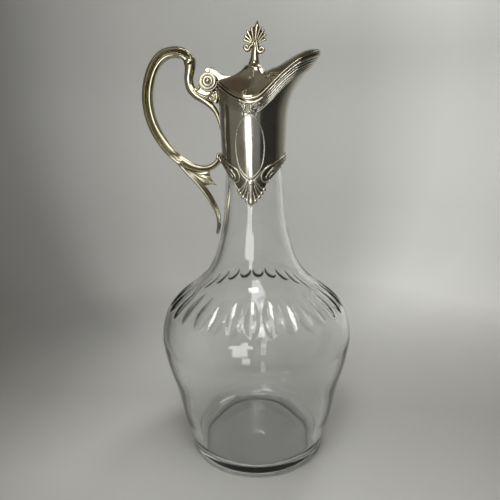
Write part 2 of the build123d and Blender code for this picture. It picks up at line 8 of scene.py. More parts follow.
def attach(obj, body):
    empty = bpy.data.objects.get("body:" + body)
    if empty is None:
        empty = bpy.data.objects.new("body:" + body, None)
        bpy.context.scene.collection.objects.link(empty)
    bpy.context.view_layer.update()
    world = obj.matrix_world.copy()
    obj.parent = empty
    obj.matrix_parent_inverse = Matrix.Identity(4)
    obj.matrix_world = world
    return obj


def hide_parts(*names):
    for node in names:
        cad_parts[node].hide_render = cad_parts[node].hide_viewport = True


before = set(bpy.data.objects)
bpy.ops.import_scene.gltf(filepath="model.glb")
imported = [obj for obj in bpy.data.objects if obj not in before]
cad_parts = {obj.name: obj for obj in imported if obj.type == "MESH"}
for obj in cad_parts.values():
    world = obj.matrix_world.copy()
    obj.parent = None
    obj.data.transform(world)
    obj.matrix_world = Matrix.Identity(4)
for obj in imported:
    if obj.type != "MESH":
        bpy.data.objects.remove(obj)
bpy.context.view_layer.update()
mm = 0.001
print("frame loaded")


# shared mesh tools, all in millimetres until addPiece

def addPiece(name, parts, material, body, nodes=(), crease=40.0):
    verts = []
    faces = []
    paintedShade = []
    for partVerts, partFaces, *marks in parts:
        start = len(verts)
        verts += [tuple(p) for p in (np.asarray(partVerts) * mm).tolist()]
        faces += [tuple(start + v for v in face) for face in partFaces]
        # a part's mark is its share of painted shade, kept on its points
        paintedShade += np.resize(marks[0], len(partVerts)).tolist() if marks else [0.0] * len(partVerts)
    mesh = bpy.data.meshes.new(name)
    mesh.from_pydata(verts, [], faces)
    mesh.attributes.new("groundShade", "FLOAT", "POINT").data.foreach_set("value", paintedShade)
    mesh.polygons.foreach_set("use_smooth", [True] * len(mesh.polygons))
    mesh.set_sharp_from_angle(angle=math.radians(crease))
    mesh.materials.append(material)
    piece = bpy.data.objects.new(name, mesh)
    bpy.context.scene.collection.objects.link(piece)
    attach(piece, body)
    if nodes:
        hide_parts(*nodes)
    return piece


def outwards(verts, faces):
    # turns the faces of a closed part so that its volume is positive
    points = np.asarray(verts, float)
    corners = np.array([(face[0], face[k], face[k + 1]) for face in faces for k in range(1, len(face) - 1)])
    a, b, c = points[corners[:, 0]], points[corners[:, 1]], points[corners[:, 2]]
    if np.einsum("ij,ij->i", a, np.cross(b, c)).sum() < 0:
        faces = [tuple(reversed(face)) for face in faces]
    return verts, faces


def skin(rows, loop=False):
    # rows of points, each row closed on itself; the ends close to a point unless the rows make a loop
    rows = np.asarray(rows, float)
    count, around = rows.shape[0], rows.shape[1]
    verts = rows.reshape(-1, 3)
    faces = []
    for i in range(count if loop else count - 1):
        a = i * around
        b = ((i + 1) % count) * around
        for j in range(around):
            k = (j + 1) % around
            faces.append((a + j, a + k, b + k, b + j))
    if not loop:
        verts = np.vstack([verts, rows[0].mean(0), rows[-1].mean(0)])
        low, high = count * around, count * around + 1
        last = (count - 1) * around
        for j in range(around):
            k = (j + 1) % around
            faces.append((low, k, j))
            faces.append((high, last + j, last + k))
    return outwards(verts, faces)


def slab(front, back):
    # two grids of the same size, joined round their edge
    front, back = np.asarray(front, float), np.asarray(back, float)
    rows, columns = front.shape[0], front.shape[1]
    verts = np.vstack([front.reshape(-1, 3), back.reshape(-1, 3)])
    faces = []
    other = rows * columns
    for i in range(rows - 1):
        for j in range(columns - 1):
            a = i * columns + j
            quad = (a, a + 1, a + columns + 1, a + columns)
            faces.append(quad)
            faces.append(tuple(other + v for v in reversed(quad)))
    edge = [(0, j) for j in range(columns)] + [(i, columns - 1) for i in range(1, rows)]
    edge += [(rows - 1, j) for j in range(columns - 2, -1, -1)] + [(i, 0) for i in range(rows - 2, 0, -1)]
    ring = [i * columns + j for i, j in edge]
    for k, a in enumerate(ring):
        b = ring[(k + 1) % len(ring)]
        faces.append((b, a, other + a, other + b))
    return outwards(verts, faces)


def smoothLine(points, perRun=8, closed=False):
    # Catmull-Rom through a few points of any dimension
    pts = np.asarray(points, float)
    count = len(pts)
    made = []
    for i in range(count if closed else count - 1):
        if closed:
            p0, p1, p2, p3 = (pts[(i + k) % count] for k in (-1, 0, 1, 2))
        else:
            p1, p2 = pts[i], pts[i + 1]
            p0 = pts[i - 1] if i else 2 * p1 - p2
            p3 = pts[i + 2] if i + 2 < count else 2 * p2 - p1
        for t in np.arange(perRun) / perRun:
            made.append(0.5 * (2 * p1 + (p2 - p0) * t + (2 * p0 - 5 * p1 + 4 * p2 - p3) * t * t
                               + (3 * p1 - p0 - 3 * p2 + p3) * t ** 3))
    if not closed:
        made.append(pts[-1])
    return np.array(made)


def spread(values, count):
    # a few values spread evenly over a count of points
    return np.interp(np.linspace(0, 1, count), np.linspace(0, 1, len(values)), values)


def ringSteps(k, last, ends):
    # angles of the rings of a swept form at point k; its ends close like a thumb
    before = [-a for a in reversed(ends)] if k == 0 else []
    return np.radians(before + [0] + (ends if k == last else []))


def tube(line, radius, around=12):
    # round wire along a line; radius is one number or one per point
    line = np.asarray(line, float)
    radii = np.full(len(line), radius) if np.isscalar(radius) else radius
    runs = np.gradient(line, axis=0)
    runs /= np.linalg.norm(runs, axis=1)[:, None]
    side = np.cross(runs[0], [0.0, 0.0, 1.0])
    if np.linalg.norm(side) < 0.2:
        side = np.cross(runs[0], [0.0, 1.0, 0.0])
    turns = np.linspace(0, 2 * np.pi, around, endpoint=False)
    rows = []
    for k, (centre, run, r) in enumerate(zip(line, runs, radii)):
        side = side - np.dot(side, run) * run
        side /= np.linalg.norm(side)
        ring = np.cos(turns)[:, None] * side + np.sin(turns)[:, None] * np.cross(side, run)
        for a in ringSteps(k, len(line) - 1, [28, 55, 80]):
            rows.append(centre + run * r * math.sin(a) + r * math.cos(a) * ring)
    return skin(rows)


def roundRows(profile, columns):
    turns = np.linspace(0, 2 * np.pi, columns, endpoint=False)
    rows = [np.stack([r * np.cos(turns), r * np.sin(turns), np.full(columns, z)], 1) for r, z in profile]
    return np.array(rows)


def turned(profile, columns, place=None, loop=False):
    # (radius, height) points turned about Z; they start and end on the axis, or make a loop away from it
    verts, faces = skin(roundRows(profile, columns), loop)
    return (verts if place is None else moved(verts, place)), faces


def moved(verts, place):
    m = np.array(place)
    return np.asarray(verts) @ m[:3, :3].T + m[:3, 3]


def ball(centre, radius):
    steps = np.radians(np.linspace(-82, 82, 11))
    verts, faces = turned([(math.cos(a) * radius, math.sin(a) * radius) for a in steps], 20)
    return verts + np.array(centre), faces


def mirrored(parts, axis):
    made = []
    for verts, faces, *marks in parts:
        flipped = np.array(verts, float)
        flipped[:, axis] *= -1
        made.append((flipped, [tuple(reversed(face)) for face in faces], *marks))
    return made


def sunk(part, share=1.0):
    # the part is one of the grounds between raised work, darkened with painted shade
    return (*part, [share])


def heightThrough(points, x):
    # the smooth height through a few (x, height) points, straight beyond the ends
    xs, zs = np.array(points, float).T
    runs = np.diff(zs) / np.diff(xs)
    slopes = np.concatenate([runs[:1], (runs[1:] + runs[:-1]) / 2, runs[-1:]])
    x = np.asarray(x, float)
    i = np.clip(np.searchsorted(xs, x, side="right") - 1, 0, len(xs) - 2)
    width = xs[i + 1] - xs[i]
    t = np.clip((x - xs[i]) / width, 0, 1)
    middle = (1 + 2 * t) * (1 - t) ** 2 * zs[i] + t * (1 - t) ** 2 * width * slopes[i]
    middle += t * t * (3 - 2 * t) * zs[i + 1] + t * t * (t - 1) * width * slopes[i + 1]
    return middle + np.minimum(x - xs[0], 0) * slopes[0] + np.maximum(x - xs[-1], 0) * slopes[-1]


# material tools

def newMaterial(name):
    material = bpy.data.materials.new(name)
    material.use_nodes = True
    tree = material.node_tree
    return material, tree, tree.nodes["Principled BSDF"], addNode(tree, "ShaderNodeTexCoord").outputs["Object"]


def fill(tree, node, inputs):
    # an input takes a value, or a link where it is given another node's output
    for key, value in inputs.items():
        if isinstance(value, bpy.types.NodeSocket):
            tree.links.new(value, node.inputs[key])
        else:
            node.inputs[key].default_value = value


def addNode(tree, kind, inputs=None, **settings):
    node = tree.nodes.new(kind)
    for key, value in settings.items():
        setattr(node, key, value)
    fill(tree, node, inputs or {})
    return node


def ramp(tree, source, stops):
    node = addNode(tree, "ShaderNodeValToRGB", {"Fac": source})
    elements = node.color_ramp.elements
    while len(elements) < len(stops):
        elements.new(0.5)
    for element, (at, colour) in zip(elements, stops):
        element.position = at
        element.color = (colour, colour, colour, 1) if np.isscalar(colour) else (*colour, 1)
    return node.outputs["Color"]


def mapped(tree, value, start, end, low=0.0, high=1.0, kind="LINEAR"):
    inputs = {"Value": value, "From Min": start, "From Max": end, "To Min": low, "To Max": high}
    return addNode(tree, "ShaderNodeMapRange", inputs, interpolation_type=kind).outputs["Result"]


def toned(tree, value, start, end, tones):
    # colours or greys at a few places along a value
    stops = [((at - start) / (end - start), tone) for at, tone in tones]
    return ramp(tree, mapped(tree, value, start, end), stops)


def mixed(tree, factor, first, second, kind="MIX"):
    first, second = (c if isinstance(c, bpy.types.NodeSocket) else (*c, 1) for c in (first, second))
    inputs = {"Factor": factor, 6: first, 7: second}
    return addNode(tree, "ShaderNodeMix", inputs, data_type="RGBA", blend_type=kind).outputs[2]


def noise(tree, place, scale, detail, roughness=0.5):
    inputs = {"Vector": place, "Scale": scale, "Detail": detail, "Roughness": roughness}
    return addNode(tree, "ShaderNodeTexNoise", inputs).outputs["Fac"]


def bumped(tree, height, strength, distance):
    inputs = {"Height": height, "Strength": strength, "Distance": distance}
    return addNode(tree, "ShaderNodeBump", inputs).outputs["Normal"]


def silverPlate(name, look):
    # polished plate: a warm tone with brownish tarnish in broad clouds, painted shade in the recesses and on the
    # marked grounds, fine wipe marks
    material, tree, shader, place = newMaterial(name)
    clouds = noise(tree, place, look["cloudScale"], 5.0, 0.55)
    tone = ramp(tree, clouds, [(0.30, look["tarnish"]), (0.62, look["colour"])])
    # painted shade: ambient occlusion finds the recesses, which are darkened to the plate's shade colour
    paintedShade = addNode(tree, "ShaderNodeAmbientOcclusion", {"Distance": look["shadeDistance"]}, samples=6)
    depth = ramp(tree, paintedShade.outputs["AO"], [(0.25, 0), (0.75, 1)])
    # painted shade: grounds marked on their points are darkened to the same shade colour
    ground = addNode(tree, "ShaderNodeAttribute", attribute_name="groundShade").outputs["Fac"]
    marks = noise(tree, place, look["markScale"], 4.0)
    ripple = noise(tree, place, look["rippleScale"], 3.0)
    plate = mixed(tree, ground, mixed(tree, depth, look["recessShade"], tone), look["recessShade"])
    fill(tree, shader, {"Base Color": plate, "Metallic": 1.0,
                        "Roughness": mapped(tree, marks, 0.35, 0.7, *look["rough"]),
                        "Normal": bumped(tree, ripple, look["ripple"], look["rippleDeep"])})
    return material


# each look's recess colour is painted shade, laid into recesses and on dark grounds
collarLook = {
    "colour": (0.54, 0.525, 0.47), "tarnish": (0.44, 0.42, 0.36), "recessShade": (0.07, 0.062, 0.045),
    "cloudScale": 45.0, "shadeDistance": 0.0012, "markScale": 260.0, "rough": (0.12, 0.20), "rippleScale": 90.0,
    "ripple": 0.10, "rippleDeep": 0.0004}
handleLook = dict(collarLook, colour=(0.56, 0.525, 0.40), tarnish=(0.44, 0.40, 0.28), rough=(0.13, 0.22))
# the ornaments are the same plate as the collar, made lighter and rougher: the lighter colour is painted
# highlight so the raised work reads bright
ornamentLook = dict(collarLook, colour=(0.80, 0.78, 0.69), tarnish=(0.66, 0.63, 0.53), rough=(0.24, 0.34))
# the lid's warmer, browner colour is a painted reflection of brown surroundings
lidLook = dict(collarLook, colour=(0.54, 0.50, 0.43), tarnish=(0.42, 0.36, 0.28), rough=(0.10, 0.17))
hingeLook = dict(handleLook, shadeDistance=0.0009)
collarSilver = silverPlate("collarSilver", collarLook)
brightenedOrnamentSilver = silverPlate("brightenedOrnamentSilver", ornamentLook)
handleSilver = silverPlate("handleSilver", handleLook)
hingeSilver = silverPlate("hingeSilver", hingeLook)
lidSilver = silverPlate("lidSilver", lidLook)
# the finial's shade colour is nearly black: painted shade on its fan's ground and in its hollows
finialSilver = silverPlate("finialSilver", dict(hingeLook, recessShade=(0.012, 0.011, 0.007)))
nutBrass = silverPlate("nutBrass", dict(handleLook, colour=(0.72, 0.56, 0.28), tarnish=(0.5, 0.36, 0.16)))

glassLook = {
    "colour": (0.985, 0.992, 0.988, 1), "ior": 1.5, "shine": 1.0, "waveScale": 22.0, "wave": 0.02,
    "waveDeep": 0.001, "smearScale": 60.0, "rough": (0.0, 0.02)}
clearGlass, tree, shader, place = newMaterial("clearGlass")
smears = noise(tree, place, glassLook["smearScale"], 4.0)
waves = noise(tree, place, glassLook["waveScale"], 1.0)
fill(tree, shader, {"Base Color": glassLook["colour"], "Transmission Weight": 1.0, "IOR": glassLook["ior"],
                    "Specular IOR Level": glassLook["shine"],
                    "Roughness": mapped(tree, smears, 0.5, 0.8, *glassLook["rough"]),
                    "Normal": bumped(tree, waves, glassLook["wave"], glassLook["waveDeep"])})

plasterLook = {
    "dark": (0.50, 0.47, 0.42), "light": (0.66, 0.63, 0.58), "grainScale": 400.0, "rough": 0.85, "bump": 0.5,
    "bumpDeep": 0.0003}
plaster, tree, shader, place = newMaterial("plaster")
grain = noise(tree, place, plasterLook["grainScale"], 6.0)
fill(tree, shader, {"Base Color": ramp(tree, grain, [(0.3, plasterLook["dark"]), (0.7, plasterLook["light"])]),
                    "Roughness": plasterLook["rough"],
                    "Normal": bumped(tree, grain, plasterLook["bump"], plasterLook["bumpDeep"])})
print("materials made")


# glass: outside and inside turned from the same stations, with thirty olives cut round the shoulder
glass = {
    "baseRadius": 41.5, "heelRound": 8.9, "bodyRadius": 67.4, "bodyZ": 90.0, "neckRadius": 18.9,
    "neckZ": 205.0, "mouthZ": 238.0, "lipRadius": 18.3, "wall": 4.0, "neckWall": 3.0, "lowWall": 5.6,
    "lowWallZ": 12.0, "floor": 7.0, "kick": 1.3, "kickRadius": 37.5, "olives": 30, "firstOlive": -86.0,
    "oliveTop": 127.0, "oliveLow": 110.5, "oliveDepth": 1.4, "oliveReach": 25.0, "wheelEdge": 10.6,
    "wheelRadius": 128.0, "columns": 840}
waistSteps = [(0.06, 0.07), (0.26, 0.285), (0.51, 0.51), (0.755, 0.825), (0.9, 0.955)]
shoulderSteps = [
    (0.096, 0.961), (0.165, 0.893), (0.235, 0.742), (0.304, 0.54), (0.383, 0.334), (0.470, 0.206),
    (0.574, 0.124), (0.696, 0.060), (0.852, 0.025)]
heelStation = (glass["heelRound"], glass["baseRadius"] + glass["heelRound"])
bodyStation, neckStation = (glass["bodyZ"], glass["bodyRadius"]), (glass["neckZ"], glass["neckRadius"])


def stationsBetween(low, high, inner, outer, steps):
    # (height, radius) stations by their shares of the way up and of the way out
    return [(low + up * (high - low), inner + out * (outer - inner)) for up, out in steps]


stations = [heelStation]
stations += stationsBetween(heelStation[0], bodyStation[0], heelStation[1], bodyStation[1], waistSteps)
stations += [bodyStation]
stations += stationsBetween(bodyStation[0], neckStation[0], neckStation[1], bodyStation[1], shoulderSteps)
stations += [neckStation, (glass["mouthZ"], glass["lipRadius"])]


def glassRadius(z):
    return heightThrough(stations, z)


def glassInside(z):
    share = np.clip((z - glass["bodyZ"]) / (glass["neckZ"] - glass["bodyZ"]), 0, 1)
    lowShare = np.clip((glass["bodyZ"] - z) / (glass["bodyZ"] - glass["lowWallZ"]), 0, 1)
    thick = glass["wall"] + (glass["neckWall"] - glass["wall"]) * share
    thick = thick + (glass["lowWall"] - glass["wall"]) * lowShare
    slope = glassRadius(z + 0.5) - glassRadius(z - 0.5)
    length = np.hypot(slope, 1.0)
    return glassRadius(z) - thick / length, z + thick * slope / length


def cutOlives(points):
    # a wheel with a round edge cuts each olive; the glass there is pushed straight in to the wheel's face
    heights = (glass["oliveTop"], glass["oliveLow"], (glass["oliveTop"] + glass["oliveLow"]) / 2)
    top, low, middle = (np.array([float(glassRadius(z)), 0, z]) for z in heights)
    along = (top - low) / np.linalg.norm(top - low)
    outward = np.array([along[2], 0, -along[0]])
    centre = middle + outward * (glass["wheelEdge"] - glass["oliveDepth"])
    for k in range(glass["olives"]):
        turn = math.radians(glass["firstOlive"] + 360 / glass["olives"] * k)
        spin = np.array([[math.cos(turn), -math.sin(turn), 0], [math.sin(turn), math.cos(turn), 0], [0, 0, 1]])
        fromCentre = points - spin @ centre
        s, y, h = (fromCentre @ (spin @ axis) for axis in (along, np.array([0, 1.0, 0]), outward))
        edge = glass["wheelEdge"] - s * s / (2 * glass["wheelRadius"])
        inside = (np.abs(y) < edge) & (np.abs(s) < glass["oliveReach"]) & (h < 0)
        cut = -np.sqrt(np.maximum(edge * edge - y * y, 0))
        points = points + np.where(inside, np.minimum(cut - h, 0), 0)[..., None] * (spin @ outward)
    return points


def glassPoints():
    kick, heelRound, low = glass["kick"], glass["heelRound"], glass["floor"]
    lip, mouth = glass["lipRadius"], glass["mouthZ"]
    foot = [(r, kick * (1 - (r / glass["kickRadius"]) ** 2)) for r in np.linspace(1.5, 37.0, 14)]
    heel = [(38.4, 0.12), (39.3, 0.0), (glass["baseRadius"] - 0.6, 0.0)]
    for a in np.radians(np.linspace(-90, 0, 12)[1:]):
        heel.append((glass["baseRadius"] + heelRound * math.cos(a), heelRound * (1 + math.sin(a))))
    levels = [np.arange(11, 100, 2.5), np.arange(100, 134, 0.4), np.arange(134, 206, 1.8),
              np.arange(208, 237.5, 3.0)]
    outside = [(float(glassRadius(z)), z) for z in np.concatenate(levels)]
    innerLip = lip - glass["neckWall"]
    edge = [(lip - 0.15, mouth - 0.4), (lip - 0.8, mouth), (innerLip + 0.8, mouth),
            (innerLip + 0.1, mouth - 0.5)]
    depths = [np.arange(235, 204, -4.0), np.arange(204, 96, -2.0), np.arange(95, 18, -3.0)]
    bore = [tuple(float(v) for v in glassInside(z)) for z in np.concatenate(depths)]
    corner = bore[-1][0]
    bend = smoothLine([bore[-2], bore[-1], (corner * 0.93, 9.6), (corner * 0.78, low + 0.15),
                       (corner * 0.6, low)], 6)[7:]
    floor = [(r, low) for r in np.linspace(corner * 0.52, 1.5, 10)]
    rows = roundRows(foot + heel + outside + edge + bore + list(bend) + floor, glass["columns"])
    first = len(foot + heel)
    rows[first:first + len(outside)] = cutOlives(rows[first:first + len(outside)])
    return rows


addPiece("glassBottle", [skin(glassPoints())], clearGlass, "jug", ["glass_body"], crease=11)
print("glass made")


# collar: a plain taper below, growing into the beak above; every ornament is placed on this surface
collar = {
    "radius": 20.9, "swell": 1.5, "lowZ": 200.0, "spoutReach": 43.0, "rimRadius": 22.9, "rimLowZ": 249.5,
    "beakSharpness": 10, "rimSearch": (236.0, 290.0), "neckTaper": 0.03, "wall": 1.0, "columns": 288}
spoutLine = [
    (-13.5, 0.0), (-5.0, 0.03), (1.5, 0.10), (6.0, 0.19), (10.0, 0.31), (14.5, 0.49), (19.5, 0.70),
    (24.0, 0.87), (28.3, 1.0), (34.5, 1.16)]
spoutSharpness = [(5.5, 4.0), (12.5, 5.0), (20.5, 6.7), (27.5, 8.6), (34.5, 10.0)]
rimPoints = [
    (-1.09, 13.0), (-0.83, 8.6), (-0.524, 3.8), (-0.218, 0.9), (0.023, 0.0), (0.14, 1.4), (0.279, 6.8),
    (0.465, 14.9), (0.674, 21.8), (0.86, 25.8), (1.047, 28.6)]


def mouthShare(x):
    x = np.asarray(x, float)
    return np.where(x < 0, x / collar["rimRadius"], x / collar["spoutReach"])


def rim(x):
    return collar["rimLowZ"] + heightThrough(rimPoints, mouthShare(x))


def collarRound(z):
    share = np.minimum((z - collar["lowZ"]) / (collar["rimLowZ"] - collar["lowZ"]), 1.15)
    return collar["radius"] + collar["swell"] * share


def beakEdge(turn, roundRadius, reach, sharpness, offset):
    # plan outline of the beak at a turn in radians, moved out by an offset
    def edge(t):
        radius = roundRadius + (reach - roundRadius) * np.maximum(np.cos(t), 0) ** sharpness
        return radius * np.cos(t), radius * np.sin(t)
    x, y = edge(turn)
    x1, y1 = edge(turn + 0.01)
    x0, y0 = edge(turn - 0.01)
    length = np.hypot(x1 - x0, y1 - y0)
    return x + (y1 - y0) / length * offset, y - (x1 - x0) / length * offset


def onCollar(turn, z, offset=0.0):
    # a point of the collar's outside; turn in radians from the spout
    turn, z = np.broadcast_arrays(np.asarray(turn, float), np.asarray(z, float))
    level = z - collar["rimLowZ"]
    share = np.maximum(heightThrough(spoutLine, level), 0)
    share = np.where(level < spoutLine[0][0], 0, share)
    roundRadius = collarRound(z)
    sharpness = np.maximum(heightThrough(spoutSharpness, level), spoutSharpness[0][1])
    reach = roundRadius + (collar["spoutReach"] - roundRadius) * share
    x, y = beakEdge(turn, roundRadius, reach, sharpness, offset)
    return np.stack([x, y, z], -1)


def rimHeight(turn):
    # where the collar meets the height of the rim at each turn
    low, high = (np.full(np.shape(turn), z) for z in collar["rimSearch"])
    for _ in range(36):
        middle = (low + high) / 2
        above = middle > rim(onCollar(turn, middle)[..., 0])
        high = np.where(above, middle, high)
        low = np.where(above, low, middle)
    return (low + high) / 2


collarTurns = np.linspace(0, 2 * np.pi, collar["columns"], endpoint=False)
collarTops = rimHeight(collarTurns)
footPoints = [(0, 199.9), (22, 199.9), (32, 200.8), (44, 204.0), (58, 207.8), (76, 210.9), (90, 211.9)]
# angle from the nearer of front and back
fromFront = np.degrees(np.arcsin(np.clip(np.abs(np.cos(collarTurns)), 0, 1)))
collarLows = heightThrough(footPoints, fromFront)
collarRows = []
for shares, depth in ((np.linspace(0, 1, 44), 0), (np.linspace(1, 0, 22), collar["wall"])):
    collarRows += [onCollar(collarTurns, collarLows + (collarTops - collarLows) * v, -depth) for v in shares]
addPiece("collarShell", [skin(collarRows, loop=True)], collarSilver, "jug", ["collar_shell"])

# rim moulding: fine beads that run round under the mouth and spread a little towards the spout,
# and each has its depth below the rim, its height and how far it stands out
moulding = {
    "beads": [(0.1, 1.3, 0.85), (1.7, 1.0, 0.70), (3.0, 1.1, 0.74), (4.4, 0.95, 0.66), (5.6, 0.85, 0.58),
        (6.7, 0.75, 0.48)],
    "ground": 0.16, "low": 7.6, "sunk": -0.3, "spread": 0.28, "over": 24.0}
mouldingSteps = [(0.0, 0.1)]
for top, height, proud in moulding["beads"]:
    mouldingSteps += [(top + height * share,
                       moulding["ground"] + (proud - moulding["ground"]) * math.sin(math.pi * share) ** 0.6)
                      for share in (0.04, 0.2, 0.4, 0.6, 0.8, 0.96)]
mouldingSteps += [(moulding["low"], 0.02), (moulding["low"], moulding["sunk"]), (0.0, moulding["sunk"])]
spreading = np.clip(onCollar(collarTurns, collarTops)[:, 0] / moulding["over"], 0, 1) * moulding["spread"] + 1
mouldingRows = [onCollar(collarTurns, collarTops - drop * spreading, proud) for drop, proud in mouldingSteps]
addPiece("rimMoulding", [skin(mouldingRows, loop=True)], collarSilver, "jug", ["rim_moulding"],
         crease=35)
print("collar made")


# lid: a bell-shaped dome run into the arched cover of the spout
lid = {
    "gap": 0.3, "sheet": 1.2, "over": 0.2, "inset": 1.2, "domeX": 1.2, "domeZ": 272.2, "columns": 240,
    "beadHeight": 1.8, "beadInset": 0.78, "beadAcross": 0.76, "beadHalf": 0.9, "beadColumns": 360,
    "slope": 0.67, "bell": 1.24, "footTo": 14.0, "coverHalf": 5.0, "blend": 2.2}
coverLine = [
    (-0.35, 4.5), (0.047, 13.5), (0.244, 19.4), (0.358, 21.1), (0.493, 24.3), (0.628, 27.5), (0.767, 30.0),
    (0.895, 31.0), (0.965, 30.5), (1.023, 29.1)]
beakTurns = np.radians(np.linspace(1, 90, 90))
beakRadius = (collar["rimRadius"]
              + (collar["spoutReach"] - collar["rimRadius"]) * np.cos(beakTurns) ** collar["beakSharpness"])


def beakHalfWidth(x):
    return np.interp(x, (beakRadius * np.cos(beakTurns))[::-1], (beakRadius * np.sin(beakTurns))[::-1])


def lidTop(x, y):
    radius, bead = collar["rimRadius"], lid["gap"] + lid["beadHeight"]
    reach = np.hypot(x, y)
    centre = lid["domeX"] * (1 - np.minimum(reach / radius, 1))
    inwards = 1 - np.hypot(x - centre, y) / radius
    foot = rim(np.clip(radius * x / np.maximum(reach, 0.01), -radius, lid["footTo"])) + bead
    lift = lid["slope"] * inwards + lid["bell"] * np.maximum(inwards, 0) ** 4
    # the last tenth of the rise is eased over the top
    lift = np.where(lift > 0.9, 1 - 0.1 * np.exp(np.minimum(0.9 - lift, 0) / 0.1), lift)
    dome = foot + (lid["domeZ"] - foot) * lift
    edge = rim(x) + bead
    crown = collar["rimLowZ"] + heightThrough(coverLine, mouthShare(x))
    half = np.maximum(beakHalfWidth(np.maximum(x, 0)), lid["coverHalf"])
    arch = edge + (crown - edge) * np.cos(np.minimum(np.abs(y) / half, 2) * np.pi / 2)
    high = np.maximum(dome, arch)
    sharp = lid["blend"]
    return high + np.log(np.exp(sharp * (dome - high)) + np.exp(sharp * (arch - high))) / sharp


def mouthOutline(turn, inset):
    reach = collar["spoutReach"] + lid["over"]
    return beakEdge(turn, collar["rimRadius"], reach, collar["beakSharpness"], -inset)


lidTurns = np.linspace(0, 2 * np.pi, lid["columns"], endpoint=False)
edgeX, edgeY = mouthOutline(lidTurns, lid["inset"])
lidRows = []
for shares, depth in ((np.linspace(0.04, 1, 52), 0), (np.linspace(1, 0.04, 30), lid["sheet"])):
    for share in shares:
        x = lid["domeX"] + (edgeX - lid["domeX"]) * share
        lidRows.append(np.stack([x, edgeY * share, lidTop(x, edgeY * share) - depth], -1))
addPiece("lidShell", [skin(lidRows)], lidSilver, "lid", ["lid_shell"])

beadTurns = np.linspace(0, 2 * np.pi, lid["beadColumns"], endpoint=False)
beadRows = []
for a in np.radians(np.arange(0, 360, 22.5)):
    x, y = mouthOutline(beadTurns, lid["beadInset"] - lid["beadAcross"] * math.cos(a))
    z = rim(x) + lid["gap"] + lid["beadHeight"] / 2 + lid["beadHalf"] * math.sin(a)
    beadRows.append(np.stack([x, y, z], -1))
addPiece("lidEdgeBead", [skin(beadRows, loop=True)], lidSilver, "lid", ["lid_edge_bead"])
print("lid made")


# ornament tools: everything on the collar is placed by its angle from the front, in degrees, and its height

def onMount(angle, z, proud):
    # front of the collar, run down on to the neck below the collar's foot
    angle, z = np.broadcast_arrays(np.asarray(angle, float), np.asarray(z, float))
    points = onCollar(np.radians(angle - 90), np.maximum(z, collar["lowZ"]), proud)
    drop = np.maximum(collar["lowZ"] - z, 0)
    radius = np.hypot(points[..., 0], points[..., 1])
    points[..., :2] *= ((radius - collar["neckTaper"] * drop) / radius)[..., None]
    points[..., 2] = z
    return points


def mountWire(path, radius, proud, perRun=6, closed=False):
    # a wire laid on the collar through (angle, height) points; a list of radii is spread along it
    line = smoothLine(path, perRun, closed)
    if closed:
        line = np.vstack([line, line[:1]])
    radii = radius if np.isscalar(radius) else spread(radius, len(line))
    return tube(onMount(line[:, 0], line[:, 1], proud), radii)


def mountBall(angle, z, proud, radius):
    return ball(onMount(angle, z, proud), radius)


def pressed(part, proud, share):
    # presses a wire on the collar or the neck to a flatter section
    verts, faces = part
    radius = np.hypot(verts[:, 0], verts[:, 1])
    drop = np.maximum(collar["lowZ"] - verts[:, 2], 0)
    base = collarRound(np.maximum(verts[:, 2], collar["lowZ"])) - collar["neckTaper"] * drop + proud
    flat = np.array(verts)
    flat[:, :2] *= ((base + (radius - base) * share) / radius)[:, None]
    return flat, faces


def pressedRib(path, size, proud, share, around=12):
    return pressed(tube(onMount(path[:, 0], path[:, 1], proud), size, around), proud, share)


def ribPaths(root, tips, bow, apart, steps, along, sizes):
    # path and radii of each rib: it leaves the root upright and bends out to its tip
    made = []
    for tip in np.array(tips, float):
        out = tip[0] - root[0]
        start = np.array([root[0] + apart[0] * out, root[1] + apart[1] * abs(out)])
        bend = start + (tip - start) * bow
        path = [(1 - t) ** 2 * start + 2 * t * (1 - t) * bend + t * t * tip
                for t in np.linspace(0.05, 1, steps)]
        made.append((np.array(path), np.interp(np.linspace(0, 1, steps), along, sizes)))
    return made


def sideRibs(fan, steps):
    # ribs to the left and the right; apart sets their roots a little side by side
    return ribPaths(fan["root"], fan["left"] + fan["right"], fan["bow"], fan["apart"], steps, (0, 0.4, 0.8, 1),
                    fan["rib"])


def middleRib(fan, steps, along):
    return ribPaths(fan["root"], [fan["tip"]], (0, 0.5), (0, 0), steps, along, fan["middle"])[0]


def addBothSides(name, parts, node):
    # the back of the collar is a mirror image of the front
    addPiece(name + "Front", parts, brightenedOrnamentSilver, "jug", [node + "_front"])
    addPiece(name + "Back", mirrored(parts, 1), brightenedOrnamentSilver, "jug", [node + "_back"])


def castPiece(name, parts, voxel, passes, material, body, nodes=()):
    # closed forms run together as one casting
    piece = addPiece(name, parts, material, body, nodes)
    together = piece.modifiers.new("together", "REMESH")
    together.mode = "VOXEL"
    together.voxel_size = voxel * mm
    soften = piece.modifiers.new("soften", "SMOOTH")
    soften.factor = 0.5
    soften.iterations = passes
    bpy.context.view_layer.update()
    evaluated = piece.evaluated_get(bpy.context.evaluated_depsgraph_get())
    cast = bpy.data.meshes.new_from_object(evaluated)
    piece.modifiers.clear()
    piece.data = cast
    cast.polygons.foreach_set("use_smooth", [True] * len(cast.polygons))
    return piece


